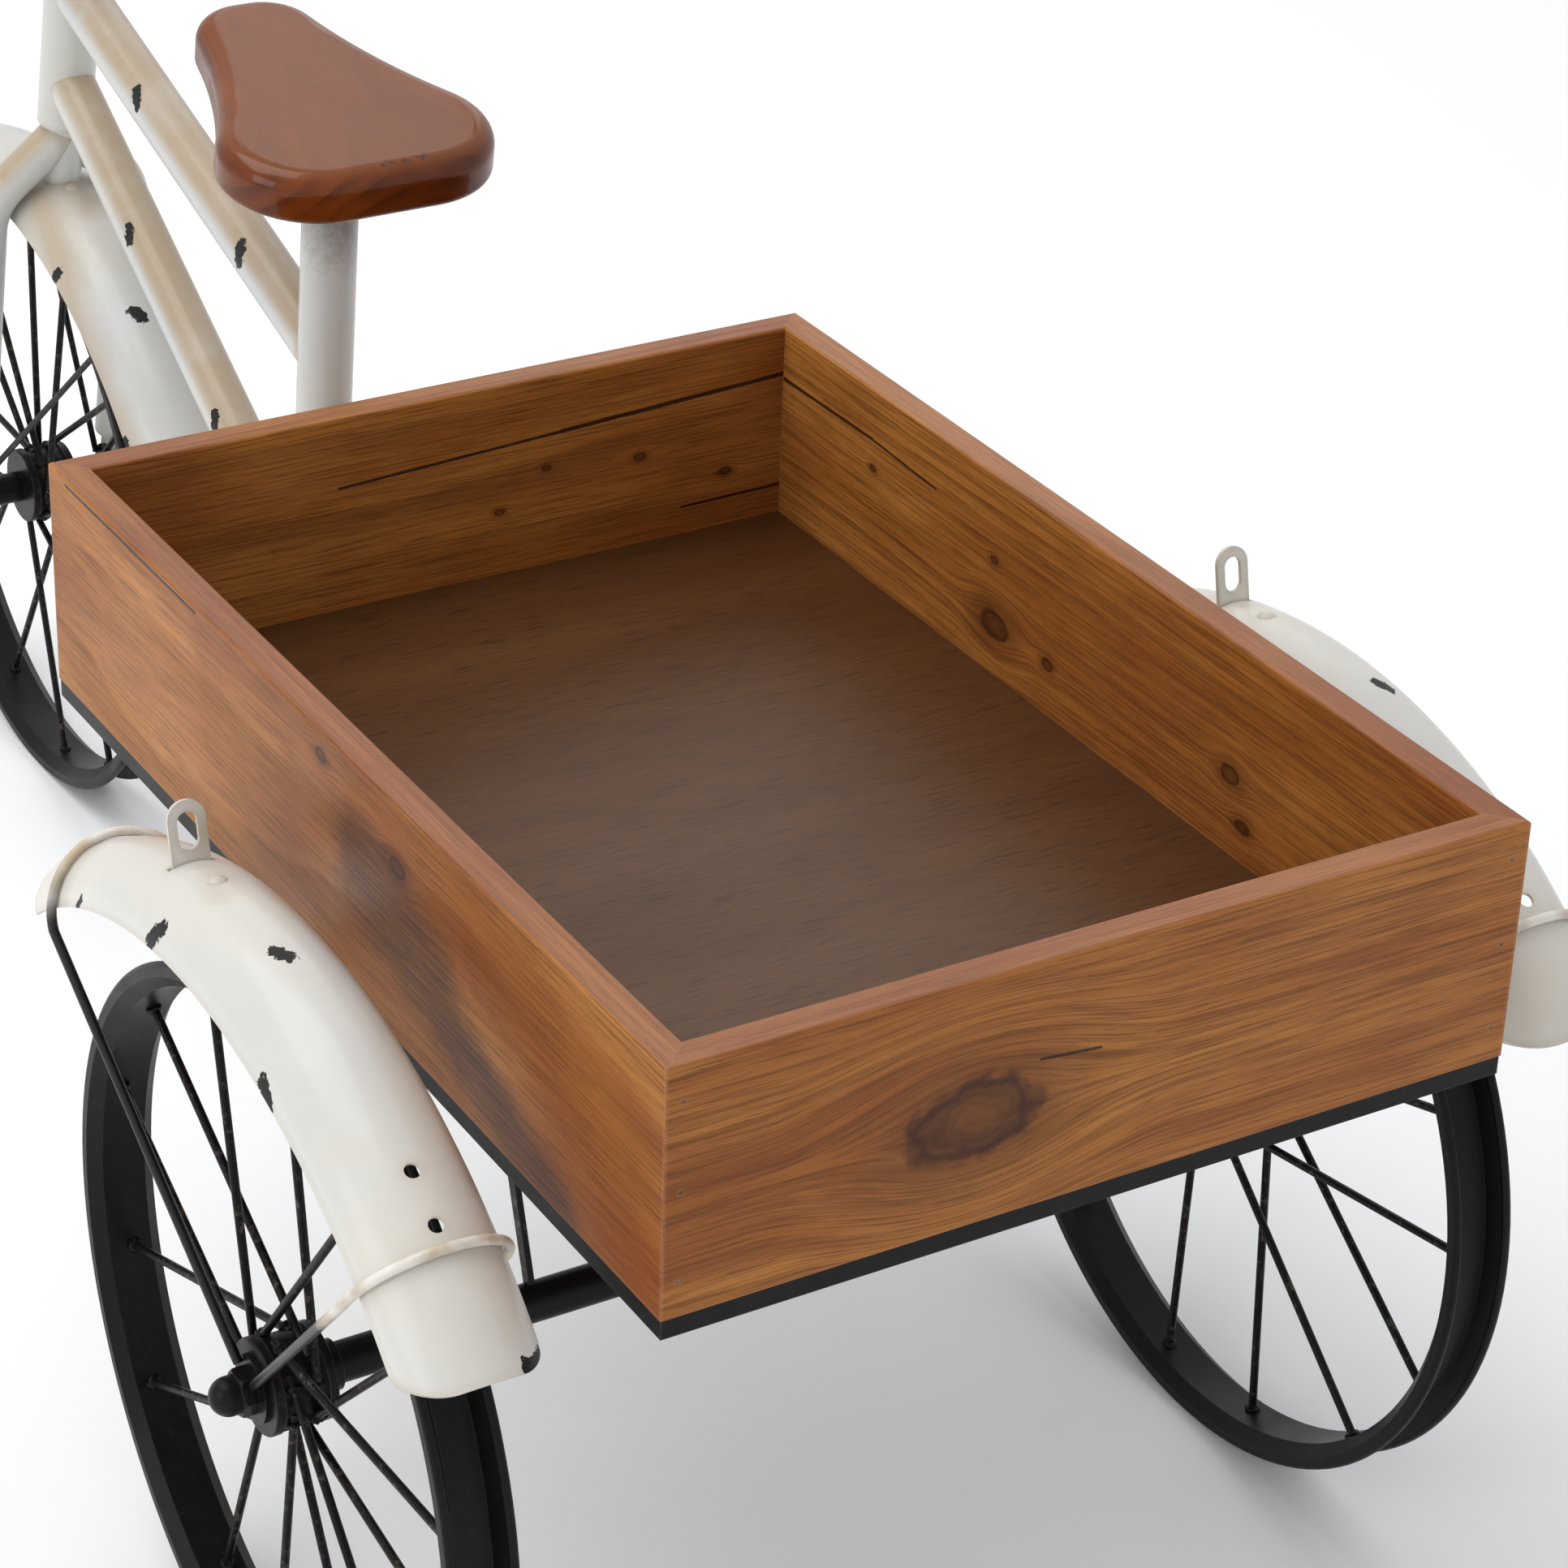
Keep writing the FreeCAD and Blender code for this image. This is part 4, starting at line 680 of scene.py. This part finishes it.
rim_black = lacquer("black_lacquer_rims", 0.25, 0.05)
hub_black = lacquer("black_lacquer_hubs", 0.55, 0.2, 0.38)
spoke_black = lacquer("black_lacquer_spokes", 0.3, 0.75, 0.4)
for wheel in ("front", "left", "right"):
    wear(rim_black, wheel + "_wheel_rim")
    wear(hub_black, wheel + "_wheel_hub")
    wear(spoke_black, wheel + "_wheel_spokes")
wear(lacquer("black_lacquer_frame", 0.3, 0.06), "rail_left", "rail_right", "rail_front", "rail_rear",
     "cross_bar_front", "cross_bar_rear", "axle_tube", "saddle_plate")
wear(lacquer("black_lacquer_fittings", 0.3, 0.1, 0.36), "stub_axle_left", "stub_axle_right", "washer_left",
     "washer_right", "cap_nut_left", "cap_nut_right", "front_axle", "front_nuts")
wear(spoke_black, "axle_strut_left", "axle_strut_right", "front_stays")
print("black materials", sum(material.name.startswith("black_") for material in bpy.data.materials))

# %% [markdown]
# The wire stays are sprayed with the fender where they touch it and with the wheel below, so their
# colour changes from black to cream with the distance from the axle. It changes farther out on the
# front wires than on the rear ones.

# %% Two-tone stays
STAY_CHANGE_FRONT, STAY_CHANGE_REAR = 0.205, 0.165
stay_paint, tree, principled, position = new_material("two_tone_stays", Specular_IOR_Level=0.4)
from_axle = vec(tree, "MULTIPLY", vec(tree, "SUBTRACT", position, tuple(rear_axle)), (1.0, 0.0, 1.0))
drift = calc(tree, "MULTIPLY", clouds(tree, position, 60.0), 0.03)
split = add(tree, "ShaderNodeSeparateXYZ", {0: position}).outputs
start = step(tree, split["X"], rear_axle.x - 0.02, rear_axle.x + 0.02, STAY_CHANGE_FRONT,
             STAY_CHANGE_REAR)
high = calc(tree, "SUBTRACT", vec(tree, "LENGTH", from_axle), calc(tree, "ADD", start, drift))
white = step(tree, high, -0.012, 0.02)
cream = blend(tree, step(tree, clouds(tree, position, 35.0), 0.4, 0.65), ink(222, 218, 210),
              ink(186, 168, 142))
connect(tree, blend(tree, white, ink(16, 15, 15), cream), principled, "Base Color")
finish = use(tree, finish_group, {"Position": position, "Base": 0.36})
connect(tree, finish["Roughness"], principled, "Roughness")
bump(tree, principled, finish["Height"], 0.0001, 0.6)
wear(stay_paint, "fender_stays_left", "fender_stays_right")
print("stays change at", STAY_CHANGE_FRONT, "and", STAY_CHANGE_REAR)

# %% [markdown]
# The nails and screws are zinc under a thin brown film of stain, which dulls them in patches.

# %% Fasteners
zinc, tree, principled, position = new_material("stained_zinc", Specular_IOR_Level=0.3)
film = clouds(tree, position, 300.0, 3.0)
colour = blend(tree, step(tree, film, 0.35, 0.65), ink(92, 62, 38), ink(132, 112, 92))
connect(tree, colour, principled, "Base Color")
connect(tree, step(tree, film, 0.3, 0.7, 0.2, 0.7), principled, "Metallic")
connect(tree, step(tree, film, 0.3, 0.7, 0.6, 0.4), principled, "Roughness")
wear(zinc, "corner_nails", "tray_screws", "saddle_screws")
undressed = [name for name, node in nodes.items() if not node.data.materials]
print("nodes left without a material", undressed)

# %% [markdown]
# Each spoke is welded to the rim and the hub, and the weld leaves a small lump. The lumps are
# made from the spokes themselves: each loose wire in the node's mesh has a far end and a near end,
# and a noisy little ball of steel goes on each. The wires are found in the order of the mesh's own
# corners, so that each lump has the same shape in every run.

# %% Find the wires' ends
SAME_PLACE = 1e-6
END_DEPTH = 0.003


def wires_of(name):
    """The corners of each loose piece of a node's mesh."""
    shape = bmesh.new()
    shape.from_mesh(nodes[name].data)
    bmesh.ops.remove_doubles(shape, verts=shape.verts, dist=SAME_PLACE)
    seen = set()
    found = []
    for first in shape.verts:
        if first in seen:
            continue
        seen.add(first)
        pile, island = [first], []
        while pile:
            corner = pile.pop()
            island.append(corner.co.copy())
            for link in corner.link_edges:
                other = link.other_vert(corner)
                if other not in seen:
                    seen.add(other)
                    pile.append(other)
        found.append(island)
    shape.free()
    return found


def end_of(wire, axle, far):
    """The middle of a wire's end that lies farther from or nearer to an axle."""
    def away(corner):
        return math.hypot(corner.x - axle.x, corner.z - axle.z)
    reach = (max if far else min)(away(corner) for corner in wire)
    near = [corner for corner in wire if abs(away(corner) - reach) < END_DEPTH]
    return sum(near, Vector()) / len(near)


print("wires in a wheel", len(wires_of("front_wheel_spokes")))

# %% [markdown]
# A weld bead cools into a low, uneven drop. A fine ball is flattened along the wire, then swollen by
# a coarse and a fine noise. The bead at the rim sits a little inwards of the wire's end.

# %% Weld lumps on the wheels
WELD_AT_RIM, WELD_AT_HUB, WELD_INSET = 0.0036, 0.0038, 0.0006
FLATTEN, COARSE_SWELL, FINE_SWELL = 0.45, 0.28, 0.1


def lump(shape, centre, size, squash, seed):
    """Add one noisy ball to a mesh, flattened along squash."""
    made = bmesh.ops.create_icosphere(shape, subdivisions=3, radius=1.0)["verts"]
    for corner in made:
        way = corner.co.normalized()
        coarse = noise.noise(way * 1.7 + Vector((seed, 2.1, 0.4)))
        fine_part = noise.noise(way * 5 + Vector((seed, 0, 9)))
        swell = 1 + COARSE_SWELL * coarse + FINE_SWELL * fine_part
        flat = way - squash * (way.dot(squash) * FLATTEN)
        corner.co = centre + flat * (size * swell)


def finish_mesh(name, shape, material, body):
    """Turn a mesh under work into a piece that rides on a body and takes a slot."""
    data = bpy.data.meshes.new(name)
    for face in shape.faces:
        face.smooth = True
    shape.to_mesh(data)
    shape.free()
    piece = bpy.data.objects.new(name, data)
    bpy.context.scene.collection.objects.link(piece)
    data.materials.append(material)
    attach(piece, body)
    return piece


WHEEL_BODIES = {"front": "front_wheel", "left": "rear_wheel_left", "right": "rear_wheel_right"}
for wheel, body in WHEEL_BODIES.items():
    axle = middle(wheel + "_wheel_rim")
    shape = bmesh.new()
    for count, wire in enumerate(wires_of(wheel + "_wheel_spokes")):
        tip, root = end_of(wire, axle, True), end_of(wire, axle, False)
        out = Vector((tip.x - axle.x, 0, tip.z - axle.z)).normalized()
        lump(shape, tip - out * WELD_INSET, WELD_AT_RIM, out, count * 3.7)
        lump(shape, root, WELD_AT_HUB, out, count * 5.3 + 1)
    piece = finish_mesh(wheel + "_wheel_welds", shape, hub_black, body)
    print(piece.name, len(piece.data.polygons), "faces")

# %% [markdown]
# The object stands on a plain pale floor, wide enough to fill the picture, matt and almost white.

# %% Floor
FLOOR_HALF = 9.0
floor_mesh = bpy.data.meshes.new("studio_floor")
floor_mesh.from_pydata([(-FLOOR_HALF, -FLOOR_HALF, 0), (FLOOR_HALF, -FLOOR_HALF, 0),
                        (FLOOR_HALF, FLOOR_HALF, 0), (-FLOOR_HALF, FLOOR_HALF, 0)], [], [(0, 1, 2, 3)])
studio_floor = bpy.data.objects.new("studio_floor", floor_mesh)
bpy.context.scene.collection.objects.link(studio_floor)
studio_floor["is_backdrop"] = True
floor_paint, tree, principled, position = new_material("studio_floor_paint", Roughness=0.9,
                                                       Specular_IOR_Level=0.1)
tone = clouds(tree, position, 0.6, 2.0)
pale, paler = (0.93, 0.93, 0.93, 1.0), (0.95, 0.95, 0.95, 1.0)
connect(tree, blend(tree, tone, pale, paler), principled, "Base Color")
floor_mesh.materials.append(floor_paint)
print("floor", 2 * FLOOR_HALF, "metres wide")

# %% [markdown]
# Three large soft lights, overhead, behind and low at the left, keep the shadows faint and give the
# steel's edges long highlights. The surround is a touch cool, which gives the white enamel its
# blue-grey shading. Colours are shown as they are, without a film curve, so that whites stay white.

# %% Light
SURROUND, SURROUND_STRENGTH = (0.96, 0.98, 1.0, 1.0), 0.8


def soft_light(name, place, target, size, power):
    """A square soft light that looks at a target."""
    data = bpy.data.lights.new(name, "AREA")
    data.size = size
    data.energy = power
    made = bpy.data.objects.new(name, data)
    made.location = place
    made.rotation_euler = (Vector(target) - Vector(place)).to_track_quat("-Z", "Y").to_euler()
    bpy.context.scene.collection.objects.link(made)


soft_light("overhead", place=(-0.6, -0.9, 3.2), target=(0.1, 0, 0.3), size=2.2, power=46)
soft_light("behind", place=(-2.6, 1.6, 2.2), target=(0.3, 0, 0.4), size=1.8, power=8)
soft_light("left_fill", place=(0.6, -3.2, 1.6), target=(0.1, 0, 0.3), size=1.6, power=24)
world = bpy.data.worlds.new("studio")
world.use_nodes = True
world.node_tree.nodes["Background"].inputs["Color"].default_value = SURROUND
world.node_tree.nodes["Background"].inputs["Strength"].default_value = SURROUND_STRENGTH
bpy.context.scene.world = world
bpy.context.scene.view_settings.view_transform = "Standard"
print("lights", len(bpy.data.lights))

# %% Sizes
low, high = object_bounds()
print("visual box", [round(v, 3) for v in (*low, *high)])
